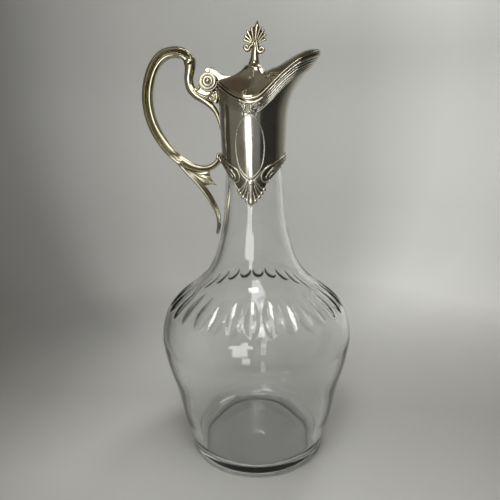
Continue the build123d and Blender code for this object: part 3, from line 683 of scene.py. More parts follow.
# reeded border along the scalloped foot of the collar, with a curled end beside the palmette
border = {
    "top": [(19, 204.6), (24, 206.8), (32, 208.9), (42, 211.0), (56, 213.4), (73, 215.4), (90, 216.5)],
    "low": [(19, 200.2), (32, 200.5), (44, 203.9), (58, 207.7), (76, 210.8), (90, 211.8)],
    "curl": [(34.2, 200.9), (31.5, 200.2), (25.0, 199.6), (21.2, 200.4), (19.3, 201.9), (19.1, 204.2),
        (21.6, 206.2), (25.5, 207.8), (35.0, 210.0)],
    "curlSizes": [0.4, 0.62, 0.62, 0.55, 0.55, 0.55, 0.55, 0.62, 0.62, 0.4],
    "lowWire": [(33.6, 202.7), (37.2, 204.3), (53.7, 208.0), (70, 210.6), (85, 211.9)],
    "veins": [
        ([(29.6, 201.5), (27.2, 202.2), (28.2, 203.4), (31.5, 204.9), (41.0, 208.3), (60, 211.8), (84.8, 214.1)],
         [0.25, 0.5, 0.48, 0.34]),
        ([(37, 206.0), (46, 208.2), (58, 210.2), (70, 212.0)], [0.2, 0.34, 0.2])],
    "plate": (0.42, -0.5), "dip": 0.25, "dark": 0.7, "curlProud": 0.55, "lowSize": 0.42, "veinProud": 0.4}
borderAngles = np.linspace(21, 159, 93)
sideAngles = np.where(borderAngles > 90, 180 - borderAngles, borderAngles)
plateLow = heightThrough(border["low"], sideAngles)
plateTop = heightThrough(border["top"], sideAngles)


def borderGrid(proud, dip=0.0):
    return [onMount(borderAngles, plateLow + (plateTop - plateLow) * v, proud - dip * math.sin(math.pi * v))
            for v in np.linspace(0, 1, 9)]


def halfRound(path):
    # carries a path from the front, past the side, to its mirror image at the back
    return path + [(180 - a, z) for a, z in reversed(path) if a < 90]


topLine = [p for p in border["top"] if p[0] > 40]
plateProud, plateBack = border["plate"]
sideParts = [
    # the border's plate is darkened with painted shade
    sunk(slab(borderGrid(plateProud, border["dip"]), borderGrid(plateBack)), border["dark"]),
    mountWire(halfRound(border["curl"] + topLine), border["curlSizes"], border["curlProud"]),
    mountWire(halfRound(border["lowWire"]), border["lowSize"], plateProud)]
for turnBack in (False, True):
    for line, sizes in border["veins"]:
        vein = [(180 - a if turnBack else a, z) for a, z in line]
        sideParts.append(mountWire(vein, sizes, border["veinProud"]))
addPiece("collarBorder", sideParts + mirrored(sideParts, 0), brightenedOrnamentSilver, "jug",
         ["lower_border"])

# palmette under the cartouche: eight ribs with rounded ends round a broad pointed lobe, on a ground darkened with
# painted shade
palmette = {
    "root": (0.5, 200.0), "bow": (0.28, 0.62), "apart": (0.30, 0.07), "rib": (0.40, 0.52, 0.70, 1.0),
    "bulb": 1.25, "press": 0.62, "ribProud": 0.6, "bulbProud": 0.7, "tip": (0.4, 184.0),
    "middle": (2.3, 1.9, 1.25, 1.9, 0.3), "middlePress": 0.32, "middleProud": 0.72,
    "left": [(-22.1, 194.4), (-19.2, 192.3), (-13.9, 190.0), (-6.9, 188.0)],
    "right": [(8.4, 187.7), (15.0, 190.0), (19.6, 192.5), (24.1, 194.9)],
    "edge": [(-31.0, 200.4), (-27.6, 197.5), (-23.4, 195.3), (-20.6, 193.4), (-17.0, 191.7), (-13.2, 190.3),
        (-7.0, 188.3), (0.4, 184.9), (8.2, 188.0), (14.2, 190.3), (18.2, 192.2), (22.4, 194.2), (26.4, 196.5),
        (29.8, 199.0), (31.4, 200.4)],
    "edgeWire": 0.34, "groundZ": 202.0, "ground": (0.36, -0.4), "dark": 0.8,
    "dots": [(0.9, 198.9, 1.0, 0.75), (-2.6, 200.1, 0.8, 0.6), (4.4, 200.1, 0.8, 0.6)]}
palmetteParts = []
for path, size in sideRibs(palmette, 11):
    palmetteParts.append(pressedRib(path, size, palmette["ribProud"], palmette["press"]))
    bulb = mountBall(*path[-1], palmette["bulbProud"], palmette["bulb"])
    palmetteParts.append(pressed(bulb, palmette["bulbProud"], palmette["press"]))
path, size = middleRib(palmette, 17, (0, 0.3, 0.62, 0.88, 1))
palmetteParts.append(pressedRib(path, size, palmette["middleProud"], palmette["middlePress"], 20))
edgeAngles, edgeHeights = smoothLine(palmette["edge"], 3).T
groundZ = palmette["groundZ"]
palmetteGround = [[onMount(edgeAngles * v, groundZ + (edgeHeights - groundZ) * v ** 0.8, proud)
                   for v in np.linspace(0.08, 1, 12)] for proud in palmette["ground"]]
palmetteParts += [sunk(slab(*palmetteGround), palmette["dark"]),
                  mountWire(palmette["edge"], palmette["edgeWire"], palmette["ground"][0], 4)]
palmetteParts += [mountBall(*dot) for dot in palmette["dots"]]
addBothSides("palmette", palmetteParts, "palmette")

# cartouche: a fine pointed oval of wire with a second wire under its foot, bare inside
cartouche = {
    "right": [(0, 202.4), (6, 203.4), (13, 205.8), (19, 209.2), (22.6, 213.8), (24.4, 219.5), (24.0, 225.0),
        (20.8, 231.3), (17.0, 234.9), (12, 238.0), (6.6, 240.3), (0, 241.2)],
    "foot": [(-19.5, 207.0), (-14.6, 204.5), (-9.1, 202.3), (-4, 200.9), (0.4, 200.4), (5, 200.9), (9.4, 202.3),
        (14.8, 204.5), (20.3, 206.8)],
    "wire": 0.45, "proud": 0.22, "footWire": [0.2, 0.46, 0.5, 0.46, 0.2], "footProud": 0.3}
oval = cartouche["right"] + [(-a, z) for a, z in reversed(cartouche["right"][1:-1])]
cartoucheParts = [mountWire(oval, cartouche["wire"], cartouche["proud"], closed=True),
                  mountWire(cartouche["foot"], cartouche["footWire"], cartouche["footProud"])]
addBothSides("cartoucheWire", cartoucheParts, "cartouche_frame")

# bow over the cartouche: a bar, two scrolls with a drop between them, and small leaves;
# each wire has its path, its radii and how far it stands out
bow = {
    "wires": [
        ([(-15.0, 250.2), (-11.5, 249.0), (-6.4, 248.5), (-2.6, 248.5), (3.4, 248.3), (7.9, 248.5), (12.4, 248.9),
          (16.2, 249.9), (20.0, 251.2)], [0.4, 0.8, 0.85, 0.85, 0.8, 0.4], 1.25),
        ([(-6.0, 248.0), (-6.9, 247.0), (-5.7, 245.9), (-7.4, 244.6), (-7.0, 243.4), (-5.1, 243.0)],
         [0.6, 0.75, 0.7, 0.4], 1.3),
        ([(-6.2, 247.2), (-8.2, 247.6), (-9.9, 246.6), (-9.0, 245.4), (-8.0, 246.2)], [0.5, 0.5, 0.3], 1.2),
        ([(3.8, 248.2), (2.7, 246.6), (3.0, 244.8), (4.7, 243.5), (8.4, 243.0)], [0.6, 0.62, 0.62, 0.4], 1.3),
        ([(3.6, 245.4), (4.8, 246.4), (6.0, 247.1), (8.6, 247.7), (11.6, 247.9), (12.2, 247.0), (10.0, 246.6),
          (8.4, 246.4)], [0.4, 0.5, 0.55, 0.4], 1.25),
        ([(7.0, 244.6), (10.8, 245.2), (11.9, 246.2)], [0.3, 0.45, 0.25], 1.2),
        ([(-2.6, 248.0), (-2.9, 246.2), (-2.2, 244.6)], [0.5, 0.35, 0.3], 1.15),
        ([(-14.6, 248.3), (-12.7, 247.5), (-11.1, 246.8)], [0.3, 0.55, 0.3], 1.25),
        ([(14.4, 248.3), (15.6, 247.6), (17.8, 247.9)], [0.3, 0.5, 0.25], 1.25),
        ([(-10.5, 242.6), (-10.2, 241.1), (-9.3, 239.6)], [0.45, 0.6, 0.3], 0.8),
        ([(11.5, 241.9), (10.9, 240.7), (9.5, 239.5)], [0.45, 0.6, 0.3], 0.8)],
    "dots": [(0.3, 245.2, 1.2, 0.5), (8.4, 246.4, 1.3, 0.65), (-8.0, 246.2, 1.3, 0.6)],
    "plateAngles": (-10.5, 12), "plateHeights": (243.2, 248.6), "plate": (0.95, -0.1), "dark": 0.9,
    "ring": (2.6, 1.1), "ringZ": 242.2, "ringWire": 0.38, "ringProud": 0.75, "bud": (0.55, 0.5)}
bowParts = [mountWire(*wire) for wire in bow["wires"]]
# a plate behind the wires, darkened all over with painted shade so the bow's middle reads dark
bowAngles, bowHeights = np.meshgrid(np.linspace(*bow["plateAngles"], 10), np.linspace(*bow["plateHeights"], 6))
bowParts.append(sunk(slab(*(onMount(bowAngles, bowHeights, proud) for proud in bow["plate"])), bow["dark"]))
bowParts += [mountBall(*dot) for dot in bow["dots"]]
bowRing = [(bow["ring"][0] * math.cos(a), bow["ringZ"] + bow["ring"][1] * math.sin(a))
           for a in np.radians(np.linspace(0, 360, 16, endpoint=False))]
bowParts += [mountWire(bowRing, bow["ringWire"], bow["ringProud"], 2, closed=True),
             mountBall(0, bow["ringZ"], *bow["bud"])]
addBothSides("bow", bowParts, "rim_bow")
print("collar ornament made")


# handle limbs: (out, up, width) stations from the collar's foot, outline in the middle plane
limbDepth = {"scroll": 8.0, "neck": 6.6, "branch": 6.0, "spur": 4.0}
limbEnd = 0.45  # how far a limb's ends reach on, as a share of its width
scrollStations = [
    (20.2, 74.2, 7.2), (20.8, 77.0, 7.4), (24.2, 80.0, 7.4), (30.2, 80.9, 7.4), (36.9, 79.2, 7.6),
    (42.5, 74.2, 7.6), (46.7, 66.3, 7.5), (49.2, 56.0, 7.5), (49.1, 45.6, 7.4), (46.2, 34.3, 7.4),
    (39.8, 23.0, 7.2), (32.5, 14.8, 6.6), (28.6, 10.9, 6.0)]
neckStations = [
    (19.6, 75.6, 7.6), (19.6, 72.4, 7.4), (20.2, 68.8, 6.7), (21.0, 65.0, 6.0), (20.7, 61.0, 6.0),
    (19.2, 57.4, 6.2), (16.0, 54.0, 5.6), (12.4, 51.5, 4.8), (8.8, 48.9, 4.3), (5.5, 45.9, 3.9),
    (3.1, 42.0, 3.2), (1.7, 37.6, 2.4), (1.0, 32.0, 1.3)]
branchStations = [
    (30.6, 13.0, 6.0), (26.0, 10.0, 6.0), (21.3, 7.7, 5.2), (15.3, 6.3, 4.5), (10.0, 6.7, 4.4),
    (5.6, 8.9, 4.2), (2.9, 12.0, 3.9), (1.6, 14.2, 3.2)]
spurStations = [
    (32.0, 13.6, 5.0), (28.6, 9.4, 4.8), (23.5, 3.2, 4.4), (16.5, -4.3, 4.3), (11.1, -11.6, 4.3),
    (7.6, -17.9, 4.0), (5.3, -23.3, 3.5), (4.2, -28.8, 3.1), (4.4, -34.0, 2.7), (5.4, -38.4, 2.2)]
# sections as (across, deep) in half widths and half depths, outer edge first
beadSection = [
    (-1.0, 0.0), (-0.98, 0.28), (-0.92, 0.56), (-0.82, 0.80), (-0.70, 0.94), (-0.58, 0.97), (-0.46, 0.88),
    (-0.37, 0.70), (-0.31, 0.50), (-0.25, 0.44), (-0.20, 0.50), (-0.15, 0.62), (-0.09, 0.64), (-0.04, 0.52),
    (0.01, 0.44), (0.07, 0.50), (0.13, 0.60), (0.30, 0.70), (0.50, 0.72), (0.70, 0.64), (0.86, 0.46),
    (0.96, 0.24), (1.0, 0.0)]
roundHalf = [(math.cos(a), math.sin(a)) for a in np.radians(np.linspace(180, 0, len(beadSection)))]
ridgeSection = [
    (-1.0, 0.0), (-0.97, 0.30), (-0.90, 0.56), (-0.80, 0.76), (-0.68, 0.90), (-0.54, 0.98), (-0.40, 1.0),
    (-0.26, 0.96), (-0.12, 0.88), (0.02, 0.78), (0.14, 0.70), (0.26, 0.62), (0.36, 0.56), (0.46, 0.50),
    (0.55, 0.45), (0.64, 0.40), (0.72, 0.35), (0.79, 0.30), (0.85, 0.25), (0.90, 0.19), (0.95, 0.13),
    (0.98, 0.07), (1.0, 0.0)]


def limbFrame(stations):
    line = smoothLine(stations)
    places = np.stack([-collar["radius"] - line[:, 0], np.zeros(len(line)), collar["lowZ"] + line[:, 1]], -1)
    runs = np.gradient(places, axis=0)
    runs /= np.linalg.norm(runs, axis=1)[:, None]
    return places, runs, np.cross(runs, [0.0, 1.0, 0.0]), line[:, 2]


def limb(stations, depth, sectionAt):
    # sweeps half a section, mirrored to the back, along the stations
    rows = []
    frames = list(zip(*limbFrame(stations)))
    for k, (place, run, side, width) in enumerate(frames):
        section = sectionAt(k / (len(frames) - 1))
        thick = min(depth, width * depth / stations[0][2] * 1.15)
        half = np.array(section + [(across, -deep) for across, deep in reversed(section[1:-1])]) / 2
        outline = half[:, :1] * width * side + half[:, 1:] * thick * np.array([0, 1.0, 0])
        for a in ringSteps(k, len(frames) - 1, [22, 44, 62, 80]):
            rows.append(place + run * width * limbEnd * math.sin(a) + outline * math.cos(a))
    return skin(rows)


def between(first, second, share):
    share = min(max(share, 0.0), 1.0)
    share = share * share * (3 - 2 * share)
    return [(a + (c - a) * share, b + (d - b) * share) for (a, b), (c, d) in zip(first, second)]


def limbWire(stations, along, across, depth, radius):
    # a fine wire on both faces of a limb; along and across list shares at a few points
    places, runs, sides, widths = limbFrame(stations)
    line = []
    for t, a in smoothLine(list(zip(along, across)), 10):
        k = t * (len(places) - 1)
        i = min(int(k), len(places) - 2)
        f = k - i
        side = sides[i] * (1 - f) + sides[i + 1] * f
        line.append(places[i] * (1 - f) + places[i + 1] * f + side * a * widths[i] / 2)
    return [tube(np.array(line) + np.array([0, y, 0]), spread(radius, len(line)), 8) for y in (-depth, depth)]


def fromCollar(points):
    # points by their distance out from the collar, y and height
    return np.array([(-collar["radius"] - out, y, z) for out, y, z in points])


def scrollSection(t):
    # round where it springs from the neck, beaded along its back, ridged towards the fork
    if t < 0.8:
        return between(roundHalf, beadSection, (t - 0.02) / 0.10)
    return between(beadSection, ridgeSection, (t - 0.86) / 0.14)


scrollWires = [
    ([0.115, 0.16, 0.24, 0.34, 0.44], [0.30, 0.22, 0.16, 0.16, 0.2], 2.75, [0.1, 0.34, 0.34, 0.28, 0.1]),
    ([0.125, 0.17, 0.24, 0.34, 0.44], [0.62, 0.52, 0.45, 0.42, 0.42], 2.65, [0.1, 0.32, 0.32, 0.26, 0.1]),
    ([0.14, 0.18, 0.24, 0.32], [0.85, 0.78, 0.72, 0.70], 2.0, [0.1, 0.28, 0.28, 0.1])]
# milled ticks beside the bead on the lower half; ends as (across, how deep, along)
ticks = {
    "count": 46, "from": 0.56, "over": 0.36, "radius": 0.24,
    "ends": [(-0.20, 2.05, -0.25), (0.16, 2.35, 0.25)]}
scrollParts = [limb(scrollStations, limbDepth["scroll"], scrollSection)]
for wire in scrollWires:
    scrollParts += limbWire(scrollStations, *wire)
places, runs, sides, widths = limbFrame(scrollStations)
for k in range(ticks["count"]):
    t = (ticks["from"] + ticks["over"] * k / (ticks["count"] - 1)) * (len(places) - 1)
    i = int(t)
    place = places[i] * (1 - t + i) + places[i + 1] * (t - i)
    for face in (-1, 1):
        a, b = (place + sides[i] * across * widths[i] / 2 + np.array([0, face * y, 0]) + runs[i] * along
                for across, y, along in ticks["ends"])
        scrollParts.append(tube([a, (a + b) / 2, b], ticks["radius"], 6))
addPiece("handleScroll", scrollParts, handleSilver, "jug", ["handle_scroll"], crease=50)
addPiece("handleNeck", [limb(neckStations, limbDepth["neck"], lambda t: roundHalf)], handleSilver, "jug",
         ["handle_swan_neck"])
hookLine = smoothLine(fromCollar([(3.3, 0, 213.4), (3.5, 0, 215.0), (2.8, 0, 216.1), (1.9, 0, 216.0)]), 5)
branchParts = [limb(branchStations, limbDepth["branch"], lambda t: beadSection)]
branchParts += [tube(hookLine + np.array([0, y, 0]), spread((1.15, 0.6), len(hookLine)))
                for y in (-1.2, 0, 1.2)]
branchParts += [tube(fromCollar([(2.2, side * 2.7, 213.6), (1.0, side * 2.9, 211.8), (0.2, side * 3.4, 209.9)]),
                     [1.0, 0.8, 0.4]) for side in (-1, 1)]
addPiece("handleBranch", branchParts, handleSilver, "jug", ["handle_lower_branch"], crease=50)
addPiece("handleSpur", [limb(spurStations, limbDepth["spur"], lambda t: ridgeSection)], handleSilver, "jug",
         ["handle_tail_spur"])

# leaf in the fork: four flutes that fan from the fork to the leaf's edge
leaf = {
    "root": (22.6, 5.2), "flutes": 4, "sag": 1.1, "edgeHalf": 0.45, "deepest": 1.45,
    "edge": [(9.6, 5.6), (9.5, 4.0), (9.3, 2.4), (8.9, 0.9), (8.3, -0.6), (7.4, -2.1), (6.3, -3.6), (5.0, -4.8),
        (6.9, -4.5), (8.7, -4.4), (10.6, -4.8), (12.4, -5.6), (14.2, -6.4)]}
leafLine = smoothLine(leaf["edge"])
leafRoot = np.array(leaf["root"])
leafGrid = []
for share in np.linspace(0.04, 1, 26):
    row = []
    for j, end in enumerate(leafLine):
        p = leafRoot + (end - leafRoot) * share
        p[1] -= leaf["sag"] * math.sin(math.pi * share) * (1 - j / len(leafLine))
        flute = abs(math.sin(leaf["flutes"] * math.pi * j / (len(leafLine) - 1)))
        swell = math.sin(math.pi * min(share * 0.8 + 0.2, 1)) ** 0.6
        deep = leaf["edgeHalf"] + (0.4 + 0.6 * flute) * swell
        row.append((p[0], -min(deep, leaf["deepest"]), collar["lowZ"] + p[1]))
    leafGrid.append(fromCollar(row))
leafGrid = np.array(leafGrid)
addPiece("handleLeaf", [slab(leafGrid, leafGrid * np.array([1, -1, 1]))], handleSilver, "jug",
         ["handle_leaf"], crease=50)
print("handle made")


# hinge: places are measured from the pin's line
hingeX, hingeZ = -28.0, 262.4


def fromHinge(points, y=0.0):
    return np.array([(hingeX + a, y, hingeZ + b) for a, b in points])


def plateBetween(outline, yFrom, yTo):
    # flat form with a closed outline seen from the side
    return skin([fromHinge(outline, y) for y in (yFrom, yTo)])


def pillow(outline, half, inset):
    # the same with a rounded face: the outline draws in towards the front and the back
    line = np.asarray(outline, float)
    ahead = np.roll(line, -1, 0)
    runs = ahead - np.roll(line, 1, 0)
    runs /= np.linalg.norm(runs, axis=1)[:, None]
    inwards = np.stack([-runs[:, 1], runs[:, 0]], 1)
    if (line[:, 0] * ahead[:, 1] - ahead[:, 0] * line[:, 1]).sum() < 0:
        inwards = -inwards
    return skin([fromHinge(line + inwards * inset * (1 - math.cos(a)), half * math.sin(a))
                 for a in np.radians(np.linspace(-74, 74, 11))])


def onCircle(radius, degrees, centre=(0, 0)):
    a = math.radians(degrees)
    return centre[0] + radius * math.cos(a), centre[1] + radius * math.sin(a)


def arc(radius, start, end, count=24, centre=(0, 0)):
    return [onCircle(radius, degrees, centre) for degrees in np.linspace(start, end, count)]


# saddle under the hinge, with wires as (line, share of the half width, radii at the ends, sides),
# small balls and a web
eye = (1.9, -9.9)
spiral = [onCircle(2.5 - 0.17 * k, 60 - 38 * k, eye) for k in range(12)]
bracket = {
    "half": 5.9,
    "wires": [(arc(5.7, 172, 352), 1.0, (0.62, 0.62), 10),
        (smoothLine([(-10.2, -5.6), (-7.2, -7.7), (-4.2, -9.1), (-1.6, -9.7), (0.4, -9.2)], 6), 0.86,
         (0.62, 0.62), 10),
        (smoothLine([(-5.5, -0.6), (-6.0, -2.4), (-6.8, -4.0), (-8.2, -5.0), (-9.2, -4.4)], 6), 0.80, (0.6, 0.9),
         10),
        (smoothLine(spiral, 4), 0.98, (0.55, 0.4), 8)],
    "balls": [(eye, 1.02, 0.85), ((3.2, -7.2), 0.94, 0.95)],
    "voxel": 0.26, "passes": 5, "webHalf": 4.9, "saddle": (6.1, 5.3), "saddleHalf": 6.0, "openHalf": 4.0,
    "eyeRadius": 2.3,
    "web": [(-5.2, -2.6), (-3.8, -4.6), (-1.8, -5.7), (0.6, -5.9), (3.0, -5.3), (5.4, -5.4), (6.2, -10.2),
        (4.6, -14.2), (1.0, -13.0), (-3.0, -11.2), (-7.4, -8.6), (-9.8, -5.8), (-7.6, -4.6)]}
bracketParts = []
for y in (-bracket["half"], bracket["half"]):
    bracketParts += [tube(fromHinge(line, y * share), spread(radii, len(line)), around)
                     for line, share, radii, around in bracket["wires"]]
    bracketParts += [ball(fromHinge([place], y * share)[0], radius) for place, share, radius in bracket["balls"]]
# the saddle is open in the middle at the back, where the thumb scroll comes down
outer, inner = bracket["saddle"]
full, opened = bracket["saddleHalf"], bracket["openHalf"]
for start, end, count, yFrom, yTo in ((204, 350, 28, -full, full), (178, 206, 10, -full, -opened),
                                      (178, 206, 10, opened, full)):
    bracketParts.append(plateBetween(arc(outer, start, end, count) + arc(inner, end, start, count), yFrom, yTo))
bracketParts.append(pillow(bracket["web"], bracket["webHalf"], 1.0))
bracketParts.append(plateBetween(arc(bracket["eyeRadius"], 0, 345, 24, eye), -bracket["half"], bracket["half"]))
castPiece("hingeBracket", bracketParts, bracket["voxel"], bracket["passes"], handleSilver, "jug",
          ["hinge_bracket"])

endRing = {
    "y": 7.5, "columns": 72,
    "profile": [(2.34, -0.4), (5.05, -0.4), (5.15, 0.15), (5.05, 0.5), (4.8, 0.72), (4.5, 0.70), (4.3, 0.45),
        (4.2, 0.22), (3.95, 0.22), (3.85, 0.52), (3.65, 0.80), (3.35, 0.86), (3.1, 0.66), (2.95, 0.30),
        (2.6, 0.24), (2.34, 0.24)]}
endParts = []
for side in (-1, 1):
    tipped = Matrix.Rotation(-side * math.pi / 2, 4, "X")
    place = Matrix.Translation((hingeX, side * endRing["y"], hingeZ)) @ tipped
    endParts.append(turned(endRing["profile"], endRing["columns"], place, loop=True))
addPiece("hingeEndRings", endParts, hingeSilver, "jug", ["hinge_end_rings"])

# thumb scroll that joins the lid to its knuckle
crest = {
    "half": 2.75, "inset": 1.0, "curl": 1.5, "curlAt": (-1.0, 7.0), "curlHalf": 2.9, "voxel": 0.24, "passes": 5,
    "line": [(-2.8, 5.9), (-2.3, 7.6), (-0.4, 8.7), (2.0, 8.5), (4.4, 7.2), (6.8, 5.3), (9.4, 4.0), (13.0, 3.4),
        (17.2, 3.3), (16.4, 1.9), (13.2, 0.5), (9.4, -0.9), (7.4, -1.6), (5.6, -1.3), (4.6, 1.2), (2.4, 3.5),
        (0.2, 4.7)]}
crestParts = [
    pillow(smoothLine(crest["line"], 5, closed=True), crest["half"], crest["inset"]),
    plateBetween(arc(crest["curl"], 0, 345, 24, crest["curlAt"]), -crest["curlHalf"], crest["curlHalf"])]
castPiece("thumbCrest", crestParts, crest["voxel"], crest["passes"], handleSilver, "lid",
          ["lid_crest"])
print("hinge made")


# finial: a turned foot and a palmette of two faces on a ground darkened with painted shade, leaning a little to
# the spout
finial = {
    "lean": 4.0, "root": (0.0, 12.2), "shift": -0.45, "turn": -4.5, "bow": (0.42, 0.55), "apart": (0.24, 0.0),
    "left": [(-7.1, 13.6), (-6.6, 16.0), (-5.7, 18.9), (-3.1, 20.9)],
    "tip": (0.0, 25.4),
    "right": [(2.3, 21.9), (4.4, 20.4), (5.9, 18.3), (6.3, 15.6)],
    "rib": (0.42, 0.50, 0.62, 0.82), "middle": (0.6, 0.9, 1.5, 0.3), "press": 0.6, "ribY": 0.62,
    "middleY": 0.55, "groundY": 0.6, "scallop": 0.92,
    "volutes": [((-5.4, 9.9), 2.0, -1), ((3.8, 9.2), 2.35, 1)],
    "voluteWire": (1.35, 0.85), "voluteY": 0.35,
    "stem": [(-0.7, 0, 8.5), (-0.65, 0, 11), (-0.5, 0, 13.0), (-0.3, 0, 15.0)],
    "stemSizes": [1.3, 1.5, 1.35, 0.5],
    "foot": [(0.3, -3.2), (4.6, -3.2), (6.1, -2.2), (6.3, -1.7), (6.0, -1.2), (5.4, -0.9), (5.1, -0.75),
        (4.5, -0.3), (3.9, 0.5), (3.4, 1.5), (3.0, 2.8), (2.7, 4.4), (2.45, 6.2), (2.2, 8.2), (2.0, 10.0),
        (1.7, 11.4), (0.9, 12.2)]}
finialPlace = (Matrix.Translation((lid["domeX"], 0, lid["domeZ"]))
               @ Matrix.Rotation(math.radians(finial["lean"]), 4, "Y"))
addPiece("finialFoot", [turned(finial["foot"], 72, finialPlace)], finialSilver, "lid",
         ["finial_foot"])


def onFinial(points, y=0.0):
    # fan coordinates turned a little about the root, then set on the lid
    points = np.asarray(points, float)
    turn = math.radians(finial["turn"])
    x, z = points[..., 0], points[..., 1] - finial["root"][1]
    flat = np.stack([x * math.cos(turn) - z * math.sin(turn) + finial["shift"], np.full(x.shape, y),
                     x * math.sin(turn) + z * math.cos(turn) + finial["root"][1]], -1)
    return moved(flat.reshape(-1, 3), finialPlace).reshape(flat.shape)


def flatRib(path, size, y):
    verts, faces = tube(onFinial(path), size)
    return verts * np.array([1, finial["press"], 1]) + np.array([0, y, 0]), faces


finialParts = []
for face in (-1, 1):
    finialParts += [flatRib(path, size, face * finial["ribY"]) for path, size in sideRibs(finial, 9)]
    finialParts.append(flatRib(*middleRib(finial, 11, (0, 0.5, 0.8, 1)), face * finial["middleY"]))
tips = np.array(finial["left"] + [finial["tip"]] + finial["right"])
root = np.array(finial["root"])
scallops = np.empty((2 * len(tips) - 1, 2))
scallops[::2] = tips
scallops[1::2] = root + ((tips[:-1] + tips[1:]) / 2 - root) * finial["scallop"]
fanGrid = np.array([root + (scallops - root) * v for v in np.linspace(0.06, 1, 10)])
# the ground between the ribs is darkened all over with painted shade
finialParts.append(sunk(slab(*(onFinial(fanGrid, side * finial["groundY"]) for side in (-1, 1)))))
for centre, size, side in finial["volutes"]:
    # each volute comes down beside the stem and winds in
    curl = [(side * 1.0 - 0.4, 13.2), (side * 1.5 - 0.4, 11.6)]
    for k in range(13):
        a, r = math.radians(10 - 32 * k), size * (1 - 0.062 * k)
        curl.append((centre[0] - side * r * math.cos(a), centre[1] + r * math.sin(a)))
    line = smoothLine(curl, 4)
    for y in (-finial["voluteY"], finial["voluteY"]):
        points = np.stack([line[:, 0], np.full(len(line), y), line[:, 1]], -1)
        finialParts.append(tube(moved(points, finialPlace), spread(finial["voluteWire"], len(line)), 10))
finialParts.append(tube(moved(finial["stem"], finialPlace), finial["stemSizes"], 14))
addPiece("finialPalmette", finialParts, finialSilver, "lid", ["finial_palmette"], crease=50)
print("finial made")


# solids that are right as they are get their finish here
finishes = {
    "neck_plaster": plaster, "hinge_knuckles_fixed": hingeSilver, "hinge_pin": hingeSilver,
    "lid_bezel": lidSilver, "lid_knuckle": hingeSilver, "finial_nut": nutBrass}
for node, material in finishes.items():
    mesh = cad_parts[node].data
    mesh.materials.clear()
    mesh.materials.append(material)


# studio: a pale table whose back curves up into a wall behind the jug; the room in front is dim; light and shade
# on the table and the wall are painted into their colour
studio = {
    "rings": (0.03, 0.12, 0.2, 0.28), "frontReach": 0.30, "wallReach": 0.62, "bend": 0.34, "height": 0.95,
    "columns": 144, "sides": 100, "paperRough": 0.8, "paperShine": 0.2, "nearTone": (0.72, 0.725, 0.72),
    "nearTo": 0.14, "farFrom": 0.40, "lampTint": (1.0, 1.0, 0.98), "world": 1.0,
    "leftLight": (0.24, 0.235, 0.19),
    "overhead": [(0.0, (0.05, 0.05, 0.045)), (0.25, (0.10, 0.098, 0.085)), (0.6, (0.13, 0.110, 0.083)),
        (1.0, (0.13, 0.105, 0.08))],
    # across, deep and rise are painted light and shade: across darkens the table to the left and lays a pool of
    # light where the jug's shadow falls, deep paints a shadow just behind the jug, rise changes the tone up the
    # bend
    "across": [(-0.4, 0.78), (-0.2, 0.86), (-0.08, 1.26), (0.02, 1.13), (0.1, 1.12), (0.3, 1.12)],
    "deep": [(-0.1, 1.0), (-0.06, 1.0), (0.0, 0.9), (0.05, 0.84), (0.15, 0.96), (0.28, 1.1), (0.4, 1.08)],
    "rise": [(0.0, 0.85), (0.012, 0.96), (0.05, 0.88), (0.1, 0.86), (0.16, 0.9), (0.25, 0.95), (0.4, 0.95)]}
# tone of the wall by the direction from the jug, painted light and shade: darker to the left, brightest to the
# right; turns from straight behind, left is negative
paintedWallLight = [
    (-180, (0.30, 0.30, 0.295)), (-75, (0.24, 0.23, 0.21)), (-58, (0.24, 0.24, 0.232)),
    (-46, (0.29, 0.29, 0.286)), (-37, (0.46, 0.46, 0.455)), (-26, (0.55, 0.55, 0.543)),
    (-5, (0.53, 0.534, 0.527)), (12, (0.62, 0.627, 0.62)), (25, (0.90, 0.907, 0.90)),
    (34, (0.95, 0.957, 0.95)), (70, (0.80, 0.80, 0.79)), (84, (0.40, 0.40, 0.395)), (96, (0.13, 0.13, 0.13)),
    (180, (0.30, 0.30, 0.295))]
columns = studio["columns"]
turnsRound = [360 * j / columns - 180 for j in range(columns)]
bendStart = studio["wallReach"] - studio["bend"]
wallLine = [(bendStart + studio["bend"] * math.sin(a), studio["bend"] * (1 - math.cos(a)))
            for a in np.radians(np.linspace(6, 90, 15))] + [(studio["wallReach"], studio["height"])]
roomVerts = []


def addRing(reach, z, chosen=range(columns)):
    # adds points of the room at one distance from the jug and says which they are
    start = len(roomVerts)
    for j in chosen:
        turn = math.radians(turnsRound[j])
        roomVerts.append((reach * math.sin(turn), reach * math.cos(turn), z))
    return list(range(start, len(roomVerts)))


def strip(first, second):
    return [(first[i], first[i + 1], second[i + 1], second[i]) for i in range(len(first) - 1)]


rings = [addRing(reach, 0.0) for reach in studio["rings"]]
roomFaces = [tuple(reversed(rings[0]))]
for inner, outer in zip(rings, rings[1:]):
    roomFaces += strip(inner + inner[:1], outer + outer[:1])
backColumns = [j for j, t in enumerate(turnsRound) if abs(t) <= studio["sides"]]
frontColumns = ([j for j, t in enumerate(turnsRound) if t >= studio["sides"]]
                + [j for j, t in enumerate(turnsRound) if t <= -studio["sides"]])
before = [rings[-1][j] for j in backColumns]
for reach, z in wallLine:
    here = addRing(reach, z, backColumns)
    roomFaces += strip(before, here)
    before = here
roomFaces += strip([rings[-1][j] for j in frontColumns], addRing(studio["frontReach"], 0.0, frontColumns))
roomMesh = bpy.data.meshes.new("studioFloor")
roomMesh.from_pydata(roomVerts, [], roomFaces)
roomMesh.polygons.foreach_set("use_smooth", [True] * len(roomFaces))
studioFloor = bpy.data.objects.new("studioFloor", roomMesh)
bpy.context.scene.collection.objects.link(studioFloor)

